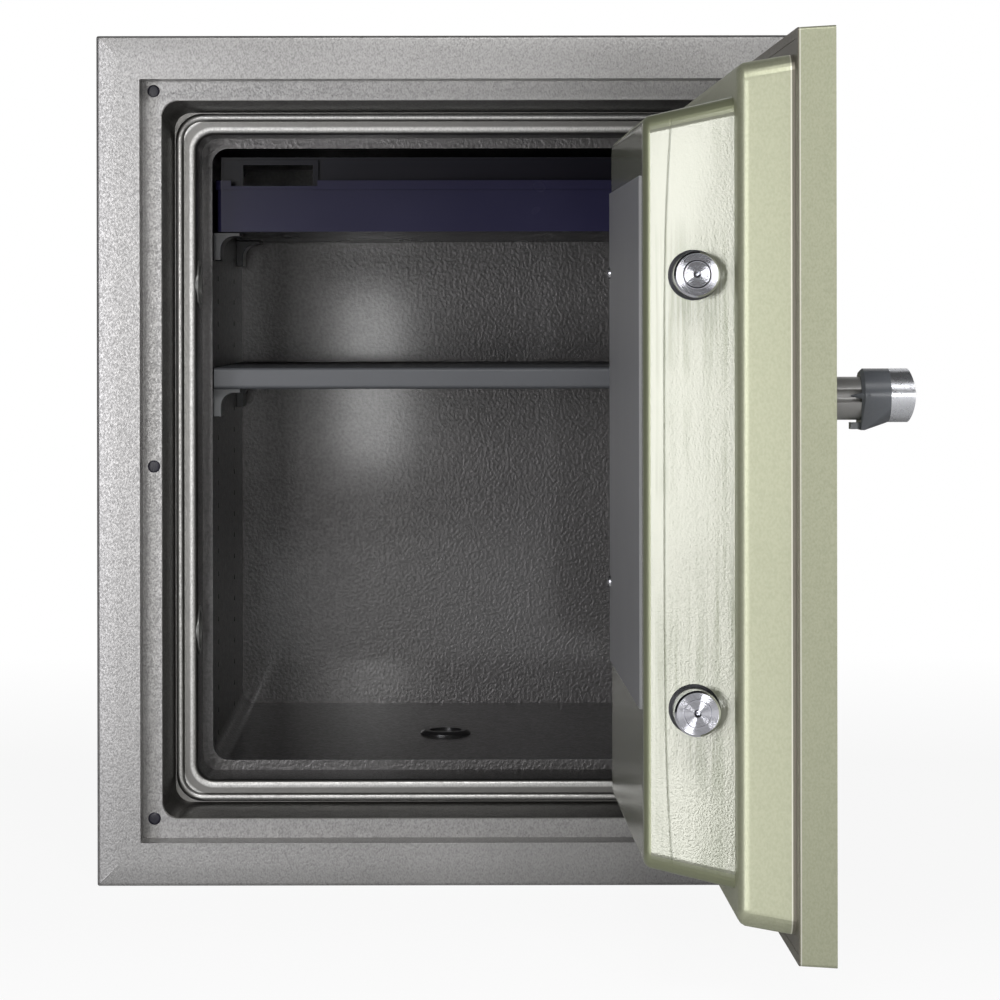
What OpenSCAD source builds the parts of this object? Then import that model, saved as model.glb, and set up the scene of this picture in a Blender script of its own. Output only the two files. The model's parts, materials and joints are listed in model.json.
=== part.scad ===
// Fireproof safe with a stepped door, two live bolts, a pull-out tray and a loose shelf.
// X runs to the right, Y into the safe and Z up; the origin is the middle of the base.

/* [Body] */
// Width of the body
body_w = 500; // [460:1:600]
// Height of the body
body_h = 610; // [560:1:760]
// Depth of the body, without the hinge barrels
body_d = 520; // [480:1:640]
// Thickness of the steel sheet of the casing
steel_t = 2; // [1.5:0.1:3]
// Radius of the casing's front edges
casing_r = 2.5; // [2:0.25:4]
// Radius of the casing's corners, seen from the front
corner_r = 1.5; // [1:0.25:2]
// Width of the border around the door opening
border_w = 31; // [28:0.5:40]
// How far the back panel sits inside the casing
back_recess = 3; // [2:0.5:8]
// Height of the pressed field of the back panel
back_press = 1.5; // [1:0.1:1.9]
// Width of the flat border around that field
back_margin = 43; // [30:1:60]
// Corner radius of that field
back_field_r = 20; // [12:1:30]

/* [Door opening] */
// Depth of the rebate that takes the door plate
rebate_d = 24; // [23:0.5:27]
// Width of the flat rim at the bottom of the rebate
rim_w = 13.5; // [12:0.5:15]
// Distance of the drafted wall's foot from the rebate's wall
draft_inset = 20.5; // [19:0.5:21]
// Depth of the ledge behind the drafted wall
ledge_d = 61; // [60:0.5:66]
// Distance of the bead on the ledge from the rebate's wall
bead_inset = 24; // [23.5:0.5:26]
// Radius of the bead on the ledge
bead_r = 3; // [1.5:0.25:3.5]
// Distance of the throat's wall from the rebate's wall
throat_inset = 36.5; // [35:0.5:38]
// Radius of the throat's rolled front edge
lip_r = 4; // [2:0.5:5]
// Depth at which the throat meets the compartment
throat_d = 113; // [112:1:130]
// Wall thickness of the jamb moulding
jamb_t = 3; // [2:0.25:4]
// Bore of the bolt sockets in the throat's wall
socket_w = 29; // [28:0.5:29.5]
// Corner radius of the throat
throat_r = 12; // [8:1:16]
// Diameter of the heads of the rim plugs
plug_w = 9; // [7:0.5:10]
// Height of the lower rim plugs above the rebate's lower end
plug_low = 14; // [12:1:60]
// Distance of the upper rim plugs from the rebate's upper end
plug_high = 7; // [6.5:0.5:60]
// How far the middle rim plugs lie below the body's middle
plug_drop = 5; // [0:1:40]

/* [Compartment] */
// Distance of the compartment's wall from the rebate's wall
liner_inset = 44; // [42:0.5:52]
// Thickness of the back wall, from the compartment to the back panel's edge
back_wall_t = 52; // [40:1:70]
// Sheet thickness of the compartment liner
liner_t = 2.5; // [1.5:0.1:3]
// Radius of the compartment's long edges
liner_r = 12; // [8:1:16]

/* [Anchor] */
// Bore of the anchor sleeve
anchor_bore = 14; // [10:0.5:16]
// Outer diameter of the anchor sleeve
anchor_w = 20; // [18.5:0.5:24]
// Distance of the anchor hole behind the body's front
anchor_d = 266; // [200:1:320]
// Diameter of the anchor cap on the compartment's floor
anchor_cap_w = 40; // [32:1:46]

/* [Shelf] */
// Thickness of the shelf
shelf_t = 16; // [12:0.5:20]
// Height of the shelf's underside above the compartment's floor
shelf_rise = 279; // [180:0.5:310]
// Gap between the shelf and the compartment's back wall
shelf_back_gap = 10; // [5:1:30]
// Gap between the shelf and each side wall
shelf_gap = 1; // [0.5:0.1:2]
// How far a bracket reaches out from the wall
bracket_reach = 20; // [16:0.5:26]
// Height of a bracket
bracket_h = 21; // [18:0.5:26]
// Length of a bracket along the wall
bracket_l = 36; // [24:1:50]
// Distance of the front brackets behind the compartment's front
bracket_front = 13; // [8:1:40]
// Distance between the front and rear brackets
bracket_pitch = 264; // [200:1:270]

/* [Tray] */
// Gap between the tray and the compartment's back wall
tray_back_gap = 18; // [10:1:40]
// Height of the tray's front wall
tray_h = 38.6; // [32:0.2:44]
// Height of the tray's rolled rim
rim_h = 6.8; // [5:0.2:8]
// Height of the tray's raised cross wall above its underside
tray_back_h = 57; // [50:0.5:59]
// Distance from the tray's underside to the compartment's ceiling
tray_drop = 62.5; // [60:0.5:80]
// Wall thickness of the tray
tray_t = 3; // [2:0.25:4]
// Gap between the tray and each side wall
tray_gap = 2; // [1.5:0.1:4]
// Set-back of the raised cross wall from the tray's front
tray_step = 22; // [16:1:30]
// Width of the pull pocket
pull_w = 65; // [50:1:80]
// Distance of the pull pocket from the tray's side
pull_side = 12; // [9:0.5:40]

/* [Door] */
// Gap between the door plate and the rebate at the sides
door_gap = 2.8; // [2.3:0.1:3.5]
// Gap above the door plate
top_gap = 3.4; // [2.3:0.1:4]
// Gap below the door plate
bottom_gap = 1.2; // [1:0.1:2.5]
// How much the door plate narrows towards its back, on each side
plate_draft = 1.2; // [0.4:0.2:1.6]
// Thickness of the door plate
plate_t = 22; // [20:0.5:23]
// Thickness of the whole door
door_t = 108; // [104:0.5:111]
// Width of the folded edge behind the door plate
hem_w = 7; // [5:0.5:9]
// Inset of the first step at the plate
step1_base = 14.5; // [14.5:0.5:17]
// Inset of the first step at its shoulder
step1_top = 19; // [18.5:0.5:22]
// Depth of the first step's shoulder
step1_d = 55; // [53:0.5:56]
// Inset of the second step at the first one's shoulder
step2_base = 36.5; // [36:0.5:41]
// Inset of the second step at the door's inner face
step2_top = 48; // [47:0.5:54]
// Inset of the second step's base on the hinge side
hinge_base = 60; // [50:1:70]
// Inset of the second step's top on the hinge side
hinge_top = 90; // [80:1:96]
// Corner radius of the steps
step_r = 12; // [10:0.5:14]
// Radius of the steps' shoulders
shoulder_r = 7; // [4:0.5:8]
// Wall thickness of the door's inner pan
pan_t = 2.5; // [1.5:0.1:3]
// How far the door stands open, in degrees
door_open = 90.7; // [60:0.1:110]
// Distance of the inner cover from the door's free edge
cover_inset = 61; // [60:0.5:64]
// Height of the inner cover's lower edge above the base
cover_low = 174.6; // [170:0.2:180]
// Height of the inner cover's upper edge above the base
cover_high = 491.5; // [485:0.5:495]
// Sheet thickness of the inner cover
cover_t = 1.5; // [1:0.1:2]

/* [Bolt work] */
// Diameter of the live bolts
bolt_w = 27; // [24:0.5:27]
// Depth of the bolts' axes behind the door's outer face
bolt_d = 78.5; // [77:0.5:80]
// Height of the lower bolt above the base
bolt_low = 176.6; // [170:0.2:200]
// Height of the upper bolt above the base
bolt_high = 432.2; // [400:0.1:440]
// Inset of the bolts' inner ends
bolt_tail = 100; // [96:1:104]
// How far the bolts stand out of the door's edge
bolt_out = 21; // [18:0.2:22]
// Travel of the bolts
bolt_travel = 25; // [20:0.5:26]
// Diameter of the holes around the bolts
bolt_hole_w = 30; // [29.5:0.5:33]
// Turn of the handle that draws the bolts, in degrees
handle_turn = 80; // [60:1:90]

/* [Handle and lock] */
// Distance of the handle's spindle from the door's free edge
handle_inset = 88; // [86:0.5:92]
// Height of the handle above the base
handle_z = 360.2; // [330:0.2:375]
// Length of the lever from the spindle to its end
lever_l = 112; // [90:1:115]
// Diameter of the lever's hub
hub_w = 32.4; // [31.5:0.2:36]
// Height of the lever's arm where it leaves the hub
arm_h = 21; // [18:0.5:24]
// Height of the lever's arm at its end
tip_h = 16; // [14:0.5:20]
// How far the handle stands out of the door
handle_out = 57; // [52:0.5:62]
// Thickness of the lever's silver front
lever_cap_t = 14.5; // [12:0.5:18]
// Diameter of the handle's neck
neck_w = 26; // [24:0.5:27]
// Diameter of the handle's spindle
spindle_w = 12; // [10:0.5:13]
// Diameter of the combination dial
dial_w = 72; // [60:1:84]
// Diameter of the dial's grip
grip_w = 36; // [28:1:44]
// Height of the dial above the base
dial_z = 430; // [425:1:440]
// Diameter of the dial's spindle
dial_spindle_w = 8; // [6:0.5:9]
// Height of the key lock above the base
key_z = 285; // [262:1:300]
// Diameter of the key lock's housing
key_housing_w = 22; // [20:0.5:26]
// Diameter of the key lock's turning plug
key_plug_w = 12; // [10:0.5:14]

/* [Hinges] */
// Distance of the hinges' middles from the door plate's ends
hinge_end = 95; // [80:1:140]
// Length of a hinge barrel
barrel_l = 60; // [50:1:90]
// Diameter of a hinge barrel
barrel_w = 15; // [14:0.5:15]
// Diameter of the hinge pins
pin_w = 8; // [6:0.5:9]
// Distance of the hinge axis from the body's right side
hinge_side = 22; // [20:0.5:23]
// Thickness of the hinge leaves
leaf_t = 3; // [2.5:0.25:4]
// Length of the leaf on the door plate, from the hinge axis
leaf_l = 55; // [40:1:80]

/* [Hidden] */
$fn = 48;
fit = 0.08;
seat = 0.3;
over = 1;
sliver = 0.02;
hull_fn = 32;

body_grey = [0.60, 0.60, 0.57];
liner_grey = [0.34, 0.34, 0.34];
khaki = [0.70, 0.71, 0.58];
plate_grey = [0.52, 0.53, 0.54];
navy = [0.16, 0.16, 0.24];
steel = [0.78, 0.79, 0.81];
dark_grey = [0.28, 0.29, 0.32];
black = [0.08, 0.08, 0.10];
stone_white = [0.86, 0.85, 0.80];

front_y = -body_d / 2;
back_y = body_d / 2;
mid_z = body_h / 2;
function deep(d) = front_y + d;
rebate_w = body_w - 2 * border_w;
rebate_h = body_h - 2 * border_w;
rim_d = rebate_d + steel_t;
inner_r = 1;
base_w = body_w - 2 * max(steel_t, corner_r);
base_front = max(steel_t, casing_r);
flange_inset = 3;
jamb_inset = 10;
throat_w = rebate_w - 2 * throat_inset;
throat_h = rebate_h - 2 * throat_inset;
bead_path_r = throat_r + throat_inset - bead_inset - 8;
plug_inset = rim_w - plug_w / 2 - 1;
plug_stem_w = 5;

liner_w = rebate_w - 2 * liner_inset;
liner_h = rebate_h - 2 * liner_inset;
liner_d = body_d - back_wall_t;
floor_z = border_w + liner_inset;
ceiling_z = body_h - floor_z;
anchor_web = 3;

shelf_z = floor_z + shelf_rise;
tray_z = ceiling_z - tray_drop;
tray_w = liner_w - 2 * tray_gap;
inside_front = throat_d + 2;
shelf_depth = liner_d - inside_front - shelf_back_gap;
tray_l = liner_d - inside_front - tray_back_gap;
pocket_t = 4;
pull_cut = 4.2;

plate_w = rebate_w - 2 * door_gap;
plate_h = rebate_h - top_gap - bottom_gap;
door_mid_z = border_w + bottom_gap + plate_h / 2;
door_proud = 0.5;
door_y = front_y - door_proud;
axis_out = barrel_w / 2 + 0.5;
hinge_x = body_w / 2 - hinge_side;
hinge_y = door_y - axis_out;
ledge_t = 2;
hem_t = 4;
hem_lip = 7;

bolt_x0 = -plate_w / 2;
bolt_face = step2_base + (bolt_d - step1_d) / (door_t - step1_d) * (step2_top - step2_base);
bolt_tip = bolt_face - bolt_out;
bolt_zs = [bolt_low, bolt_high];
socket_wall = 1.5;
socket_len = 20;
chamber_inset = 66;
chamber_hinge = 111;
cover_hinge = 96.4;
cover_edge = 6.5;
chamber_low = bolt_low - bolt_w / 2 - 6;
chamber_high = cover_high - cover_edge;
chamber_t = 2;
chamber_d = 62;
cover_screw_w = 4;
cover_hook = 8;
cover_hook_end = 30;
cover_screw_end = 54;
carriage_d = 92;
carriage_t = 4;
crank_pin_w = 8;
crank_r = bolt_travel / 2 / sin(handle_turn / 2);
slot_gap = 0.7;

handle_x = bolt_x0 + handle_inset;
neck_drop = 1.8;
neck_l = 28;
lever_d = 25;
lever_dome = 3;
hub_chamfer = 2;
lip_drop = 4.5;
groove_w = 8;
lug_l = 5.5;
nose_d = 18.5;
lock_x = 0;

// Rounded rectangle about the sketch's origin
module rounded(w, h, r) {
  square([w - 2 * r, h], center = true);
  square([w, h - 2 * r], center = true);
  for (x = [-1, 1], z = [-1, 1]) translate([x * (w / 2 - r), z * (h / 2 - r)]) circle(r);
}

// Extrudes a sketch of X and Z along Y
module along_y(y0, y1) translate([0, y1, 0]) rotate([90, 0, 0]) linear_extrude(y1 - y0) children();

// Block about the body's middle between two depths behind its front
module slab(w, h, r, d0, d1)
  along_y(deep(d0), deep(d1)) translate([0, mid_z]) rounded(w, h, r);

// Block of the rebate's outline drawn in by an inset
module inset_slab(inset, r, d0, d1) slab(rebate_w - 2 * inset, rebate_h - 2 * inset, r, d0, d1);

// Round bar bent around the opening at one depth
module bar_ring(inset, path_r, bar_r, d) {
  w = rebate_w / 2 - inset;
  h = rebate_h / 2 - inset;
  translate([0, deep(d), mid_z]) for (s = [-1, 1]) {
    translate([s * w, 0, 0]) cylinder(h = 2 * (h - path_r), r = bar_r, center = true);
    translate([0, 0, s * h]) rotate([0, 90, 0])
      cylinder(h = 2 * (w - path_r), r = bar_r, center = true);
    for (q = [0, 1]) mirror([q, 0, 0]) mirror([0, 0, (1 - s) / 2])
      translate([w - path_r, 0, h - path_r]) rotate([90, 0, 0])
        rotate_extrude(angle = 90) translate([path_r, 0]) circle(bar_r);
  }
}

// Cylinder along X or along Y, from one coordinate to another
module rod_x(x0, x1, y, z, w) translate([x0, y, z]) rotate([0, 90, 0]) cylinder(h = x1 - x0, d = w);
module rod_y(y0, y1, x, z, w) translate([x, y1, z]) rotate([90, 0, 0]) cylinder(h = y1 - y0, d = w);

// Places of the six plugs in the rim
module at_plugs()
  for (s = [-1, 1], z = [border_w + plug_low, mid_z - plug_drop, body_h - border_w - plug_high])
    translate([s * (rebate_w / 2 - plug_inset), 0, z]) children();

module outer_casing() color(body_grey) difference() {
  union() {
    difference() {
      hull() {
        slab(body_w, body_h, corner_r, casing_r, body_d, $fn = 16);
        for (a = [0 : 22.5 : 67.5]) {
          in = casing_r * (1 - sin(a));
          d = casing_r * (1 - cos(a));
          slab(body_w - 2 * in, body_h - 2 * in, max(corner_r - in, 0.4), d, d + sliver, $fn = 16);
        }
      }
      slab(body_w - 2 * steel_t, body_h - 2 * steel_t, inner_r, steel_t, body_d + over);
      translate([-base_w / 2, deep(base_front), -over]) cube([base_w, body_d, over + steel_t + inner_r]);
    }
    inset_slab(-steel_t, 3, steel_t / 2, rebate_d);
  }
  inset_slab(0, 1, -over, rebate_d + over);
}

// Bottom sheet with the hole for the anchor sleeve
module base_plate() color(body_grey) difference() {
  translate([-base_w / 2, deep(base_front), 0]) cube([base_w, body_d - base_front, steel_t]);
  translate([0, deep(anchor_d), -over]) cylinder(h = steel_t + 2 * over, d = anchor_w + 2 * fit);
}

// Flat rim at the bottom of the rebate
module rebate_rim() color(body_grey) difference() {
  inset_slab(-steel_t, 3, rebate_d, rim_d);
  inset_slab(rim_w, throat_r, rebate_d - over, rim_d + over);
  at_plugs() rod_y(deep(rebate_d - over), deep(rim_d + over), 0, 0, plug_stem_w + 2 * fit);
}

// Field of the back panel that is pressed out, drawn in by a wall
module back_field(wall, d0, d1) {
  margin = 2 * (steel_t + back_margin + wall);
  slab(body_w - margin, body_h - margin, back_field_r - wall, d0, d1);
}

module back_panel() color(body_grey) difference() {
  d = body_d - back_recess;
  union() {
    slab(body_w - 2 * steel_t, body_h - 2 * steel_t, inner_r, d - steel_t, d);
    back_field(0, d - over, d + back_press);
  }
  back_field(steel_t, d - steel_t - over, d - steel_t + back_press);
}

// Outsides of the two jamb mouldings, which the filling meets
module jamb_outside() {
  inset_slab(flange_inset, 4, rim_d, rim_d + jamb_t);
  inset_slab(jamb_inset, throat_r + 2, rim_d, ledge_d);
}
module throat_outside() {
  inset_slab(jamb_inset, throat_r + 2, ledge_d, ledge_d + 2 * lip_r);
  inset_slab(throat_inset - jamb_t, throat_r + jamb_t, ledge_d, throat_d);
}

module socket_hole(w) for (z = bolt_zs)
  rod_x(-throat_w / 2 - socket_len, -throat_w / 2 + over, door_y + bolt_d, z, w);

// Drafted wall between the rim and the ledge, with its flange behind the rim
module jamb_frame() color(body_grey) difference() {
  jamb_outside();
  hull() {
    inset_slab(rim_w + 0.4, throat_r, rim_d - over, rim_d, $fn = hull_fn);
    inset_slab(draft_inset, throat_r, ledge_d, ledge_d + sliver, $fn = hull_fn);
  }
  at_plugs() rod_y(deep(rim_d - over), deep(rim_d + jamb_t + over), 0, 0, plug_stem_w + 2 * fit);
}

// Ledge with its bead, and the throat behind the rolled lip
module throat_frame() color(body_grey) difference() {
  union() {
    difference() {
      throat_outside();
      inset_slab(throat_inset - lip_r, throat_r + lip_r, ledge_d - over, ledge_d + lip_r);
      inset_slab(throat_inset, throat_r, ledge_d, throat_d + over);
    }
    bar_ring(bead_inset, bead_path_r, bead_r, ledge_d);
    bar_ring(throat_inset - lip_r, throat_r + lip_r, lip_r, ledge_d + lip_r);
  }
  socket_hole(socket_w + 2 * socket_wall + 2 * fit);
}

// Outside of the compartment liner, which the filling meets
module liner_outside() {
  inset_slab(throat_inset - jamb_t, throat_r + jamb_t, throat_d, throat_d + liner_t);
  slab(liner_w + 2 * liner_t, liner_h + 2 * liner_t, liner_r + liner_t, throat_d, liner_d + liner_t);
}

module inner_liner() color(liner_grey) difference() {
  liner_outside();
  slab(liner_w, liner_h, liner_r, throat_d - over, liner_d);
  translate([0, deep(anchor_d), floor_z - liner_t - over])
    cylinder(h = liner_t + 2 * over, d = anchor_bore + 2 * fit);
}

module body_insulation() color(stone_white) difference() {
  slab(body_w - 2 * steel_t, body_h - 2 * steel_t, inner_r, steel_t, body_d - back_recess - steel_t);
  inset_slab(-steel_t, 3, 0, rim_d);
  jamb_outside();
  throat_outside();
  liner_outside();
  slab(throat_w, throat_h, throat_r, rim_d, throat_d + over);
  slab(liner_w, liner_h, liner_r, throat_d, liner_d);
  socket_hole(socket_w + 2 * socket_wall + 2 * fit);
  translate([0, deep(anchor_d), 0]) cylinder(h = floor_z, d = anchor_w + 2 * fit);
}

module anchor_sleeve() color(steel) translate([0, deep(anchor_d), 0]) difference() {
  cylinder(h = floor_z - liner_t, d = anchor_w);
  translate([0, 0, -over]) cylinder(h = floor_z - liner_t - anchor_web + over, d = anchor_bore);
}

// Domed plastic cap with a finger recess and a short spigot
module anchor_cap() color(black) translate([0, deep(anchor_d), floor_z]) difference() {
  rotate_extrude() {
    translate([0, -liner_t]) square([anchor_bore / 2, liner_t + over]);
    polygon([[0, 0], [anchor_cap_w / 2, 0], [anchor_cap_w / 2, 1], [anchor_cap_w / 2 - 3, 3], [0, 3]]);
  }
  translate([0, 0, 1.5]) cylinder(h = 3, d = anchor_cap_w - 14);
}

module rim_plugs() color(black) at_plugs() rotate([90, 0, 0]) rotate_extrude() {
  stem = steel_t + jamb_t;
  translate([0, -deep(rebate_d)]) {
    polygon([[0, 0], [plug_w / 2, 0], [plug_w / 2, 0.6], [plug_w / 2 - 1, 1.2], [0, 1.2]]);
    translate([0, -stem]) square([plug_stem_w / 2, stem]);
  }
}

// Cup in the throat's wall that takes a bolt, with a raised collar
module bolt_sockets() color(liner_grey) for (z = bolt_zs)
  translate([-throat_w / 2, door_y + bolt_d, z]) rotate([0, 90, 0]) rotate_extrude() {
    inside = socket_w / 2;
    difference() {
      union() {
        translate([0, -socket_len]) square([inside + socket_wall, socket_len]);
        square([inside + socket_wall + 2, 1]);
      }
      translate([-over, -socket_len + socket_wall]) square([inside + over, socket_len + over]);
    }
  }

module shelf() color(plate_grey) {
  w = liner_w - 2 * shelf_gap;
  nose = 3;
  translate([-w / 2, deep(inside_front), shelf_z]) {
    translate([0, nose, 0]) cube([w, shelf_depth - nose, shelf_t]);
    translate([0, 0, nose]) cube([w, nose + over, shelf_t - 2 * nose]);
    for (z = [nose, shelf_t - nose]) rod_x(0, w, nose, z, 2 * nose);
  }
}

// One wall bracket: leg and flange with a curved gusset, on the left wall, top at z 0
module bracket() rotate([90, 0, 0]) translate([0, 0, -bracket_l]) linear_extrude(bracket_l) {
  leg = 5.5;
  flange = 3;
  curve = bracket_reach / 2;
  translate([0, -bracket_h]) square([leg, bracket_h]);
  translate([0, -flange]) square([bracket_reach, flange]);
  difference() {
    translate([0, -flange - curve]) square([leg + curve, flange + curve]);
    translate([leg + curve, -flange - curve]) circle(curve);
  }
}

// Four brackets whose tops are at one height
module brackets(top) color(plate_grey)
  for (s = [0, 1], d = [0, bracket_pitch]) mirror([s, 0, 0])
    translate([-liner_w / 2, deep(throat_d + bracket_front + d), top]) bracket();

module shelf_brackets() brackets(shelf_z);
module tray_brackets() brackets(tray_z - seat);

// Tray with a rolled rim, a raised cross wall and a pull pocket at its left end
module tray() color(navy) translate([0, deep(inside_front), tray_z]) {
  corner = 5;
  wall_h = tray_h - rim_h;
  pocket_x = -tray_w / 2 + pull_side;
  pocket_z = wall_h;
  pocket_h = tray_back_h - pocket_z - 2;
  difference() {
    union() {
      translate([0, tray_l / 2, 0]) linear_extrude(tray_h) rounded(tray_w - 3, tray_l - 3, corner - 1.5);
      translate([0, tray_l / 2, wall_h]) linear_extrude(rim_h) rounded(tray_w, tray_l, corner);
    }
    translate([0, tray_l / 2, tray_t]) linear_extrude(tray_h)
      rounded(tray_w - 2 * tray_t - 3, tray_l - 2 * tray_t - 3, corner - tray_t);
    translate([pocket_x, -over, tray_h - pull_cut]) cube([pull_w, tray_t + 2 * over + 1, over + pull_cut]);
  }
  difference() {
    union() {
      translate([-tray_w / 2 + tray_t, tray_step, tray_t - over])
        cube([tray_w - 2 * tray_t, tray_t, tray_back_h - tray_t + over]);
      translate([pocket_x, tray_step - 5, pocket_z]) cube([pull_w, 5 + over, pocket_h]);
    }
    translate([pocket_x + 2 * pocket_t, tray_step - 5 - over, pocket_z + 2])
      cube([pull_w - 3 * pocket_t, 5 + tray_t + 2 * over, pocket_h - pocket_t - 2]);
  }
}

// Turns what is drawn on the closed door to where the door stands open
module on_door() translate([hinge_x, hinge_y, 0]) rotate([0, 0, door_open])
  translate([-hinge_x, -hinge_y, 0]) children();

// Block of the door plate's outline drawn in from the free edge, the hinge edge and the ends
module door_slab(free, hinge, ends, r, d0, d1)
  along_y(door_y + d0, door_y + d1) translate([(free - hinge) / 2, door_mid_z])
    rounded(plate_w - free - hinge, plate_h - 2 * ends, r);

// Space inside the door plate
module plate_inside() {
  wall = steel_t + plate_draft;
  door_slab(wall, wall, wall, 1, steel_t, plate_t - hem_t);
}

// One step of the door, from its base to a rounded shoulder
module door_step(f0, f1, h0, h1, d0, d1, r, round, $fn = hull_fn) hull() {
  door_slab(f0, h0, f0, r, d0, d0 + sliver);
  for (a = [0 : 22.5 : 90]) {
    in = round * (1 - cos(a));
    out = d1 - round * (1 - sin(a));
    door_slab(f1 + in, h1 + in, f1 + in, max(r - in, 1), out - sliver, out);
  }
}

// Outside or inside of the stepped plug, as far in as a wall is thick
module plug_form(wall, base, round) {
  door_step(step1_base + wall, step1_top + wall, step1_base + wall, step1_top + wall,
            base, step1_d - wall, step_r - wall, round);
  door_step(step2_base + wall, step2_top + wall, hinge_base + wall, hinge_top + wall,
            step1_d - wall - shoulder_r, door_t - wall, step_r - wall, round);
}

// Box behind the inner cover that holds the bolt work, with a wall around it
module chamber(wall, d1) {
  x0 = bolt_x0 + chamber_inset - wall;
  x1 = plate_w / 2 - chamber_hinge + wall;
  translate([x0, door_y + chamber_d - wall, chamber_low - wall])
    cube([x1 - x0, d1 - chamber_d + wall, chamber_high - chamber_low + 2 * wall]);
}

// Opening of that box in the door's inner face, which the cover closes
module cover_opening() {
  x0 = bolt_x0 + chamber_inset;
  x1 = plate_w / 2 - chamber_hinge;
  translate([x0, door_y + door_t - pan_t - over, cover_low + cover_edge])
    cube([x1 - x0, pan_t + 2 * over, cover_high - cover_low - 2 * cover_edge]);
}

// Holes of the handle, the dial and the key lock through the door
module lock_holes(gap) {
  d0 = door_y - over;
  d1 = door_y + chamber_d + over;
  rod_y(d0, d1, handle_x, handle_z, spindle_w + 2 * gap);
  rod_y(d0, d1, lock_x, dial_z, dial_spindle_w + 2 * gap);
  rod_y(d0, d1, lock_x, key_z, key_housing_w + 2 * gap);
}
module bolt_holes(w) for (z = bolt_zs)
  rod_x(bolt_x0 + step1_base, bolt_x0 + chamber_inset + over, door_y + bolt_d, z, w);

module door_skin() color(khaki) on_door() difference() {
  hull() {
    door_slab(0, 0, 0, 2, 0, sliver, $fn = hull_fn);
    door_slab(plate_draft, plate_draft, plate_draft, 2, plate_t - sliver, plate_t, $fn = hull_fn);
  }
  plate_inside();
  door_slab(hem_w + hem_lip, hem_w + hem_lip, hem_w + hem_lip, 3, steel_t, plate_t);
  door_slab(hem_w, hem_w, hem_w, 3, plate_t - ledge_t, plate_t + over);
  lock_holes(fit);
}

module door_inner_pan() color(khaki) on_door() difference() {
  union() {
    difference() {
      union() {
        plug_form(0, plate_t - ledge_t, shoulder_r);
        door_slab(hem_w + seat, hem_w + seat, hem_w + seat, 3, plate_t - ledge_t, plate_t);
      }
      plug_form(pan_t, plate_t - ledge_t - over, 1);
    }
    chamber(chamber_t, door_t - pan_t);
  }
  chamber(0, door_t - pan_t);
  cover_opening();
  bolt_holes(bolt_hole_w);
  lock_holes(fit);
  at_cover_screws() rod_y(door_y + door_t - pan_t - over, door_y + door_t + over, 0, 0,
                          cover_screw_w + 2 * fit);
}

module door_insulation() color(stone_white) on_door() difference() {
  union() {
    plate_inside();
    door_slab(hem_w + hem_lip, hem_w + hem_lip, hem_w + hem_lip, 3, steel_t, plate_t - ledge_t);
    plug_form(pan_t, plate_t - ledge_t - over, 1);
  }
  chamber(chamber_t, door_t + over);
  bolt_holes(bolt_hole_w);
  lock_holes(fit);
}

// Places of the two screws along the cover's hinge-side edge
module at_cover_screws() for (z = [cover_low + cover_screw_end, cover_high - cover_screw_end])
  translate([plate_w / 2 - cover_hinge - cover_edge - 1.5, 0, z]) children();

module inner_cover() color(plate_grey) on_door() difference() {
  x0 = bolt_x0 + cover_inset;
  x1 = plate_w / 2 - cover_hinge;
  union() {
    translate([x0, door_y + door_t, cover_low]) cube([x1 - x0, cover_t, cover_high - cover_low]);
    translate([bolt_x0 + chamber_inset + seat, door_y + door_t - cover_hook, cover_low + cover_hook_end])
      cube([cover_t, cover_hook + over, cover_high - cover_low - 2 * cover_hook_end]);
  }
  at_cover_screws() rod_y(door_y + door_t - over, door_y + door_t + cover_t + over, 0, 0,
                          cover_screw_w + 2 * fit);
}

module cover_screws() color(steel) on_door() at_cover_screws()
  translate([0, door_y + door_t + cover_t, 0]) rotate([-90, 0, 0]) difference() {
    rotate_extrude() {
      polygon([[0, 0], [4, 0], [3.6, 1.2], [2.6, 2], [0, 2.3]]);
      translate([0, -pan_t - cover_t]) square([cover_screw_w / 2, pan_t + cover_t]);
    }
    for (a = [0, 90]) rotate([0, 0, a]) translate([-2, -0.4, 1.3]) cube([4, 0.8, 2]);
  }

// Tubes that guide the bolts, set back from the door's edge
module bolt_guides() color(dark_grey) on_door() for (z = bolt_zs) difference() {
  x0 = bolt_x0 + bolt_face + 5;
  x1 = bolt_x0 + chamber_inset + 4;
  y = door_y + bolt_d;
  rod_x(x0, x1, y, z, bolt_hole_w - 2 * fit);
  rod_x(x0 - over, x1 + over, y, z, bolt_w + 2 * fit);
}

// Turned bolts with a bevelled, centre-drilled end
module live_bolts() color(steel) on_door() for (z = bolt_zs)
  translate([bolt_x0 + bolt_tip, door_y + bolt_d, z]) rotate([0, 90, 0]) rotate_extrude()
    polygon([[0, 2.2], [2.2, 0], [bolt_w / 2 - 1.2, 0], [bolt_w / 2, 1.2],
             [bolt_w / 2, bolt_tail - bolt_tip], [0, bolt_tail - bolt_tip]]);

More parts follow.
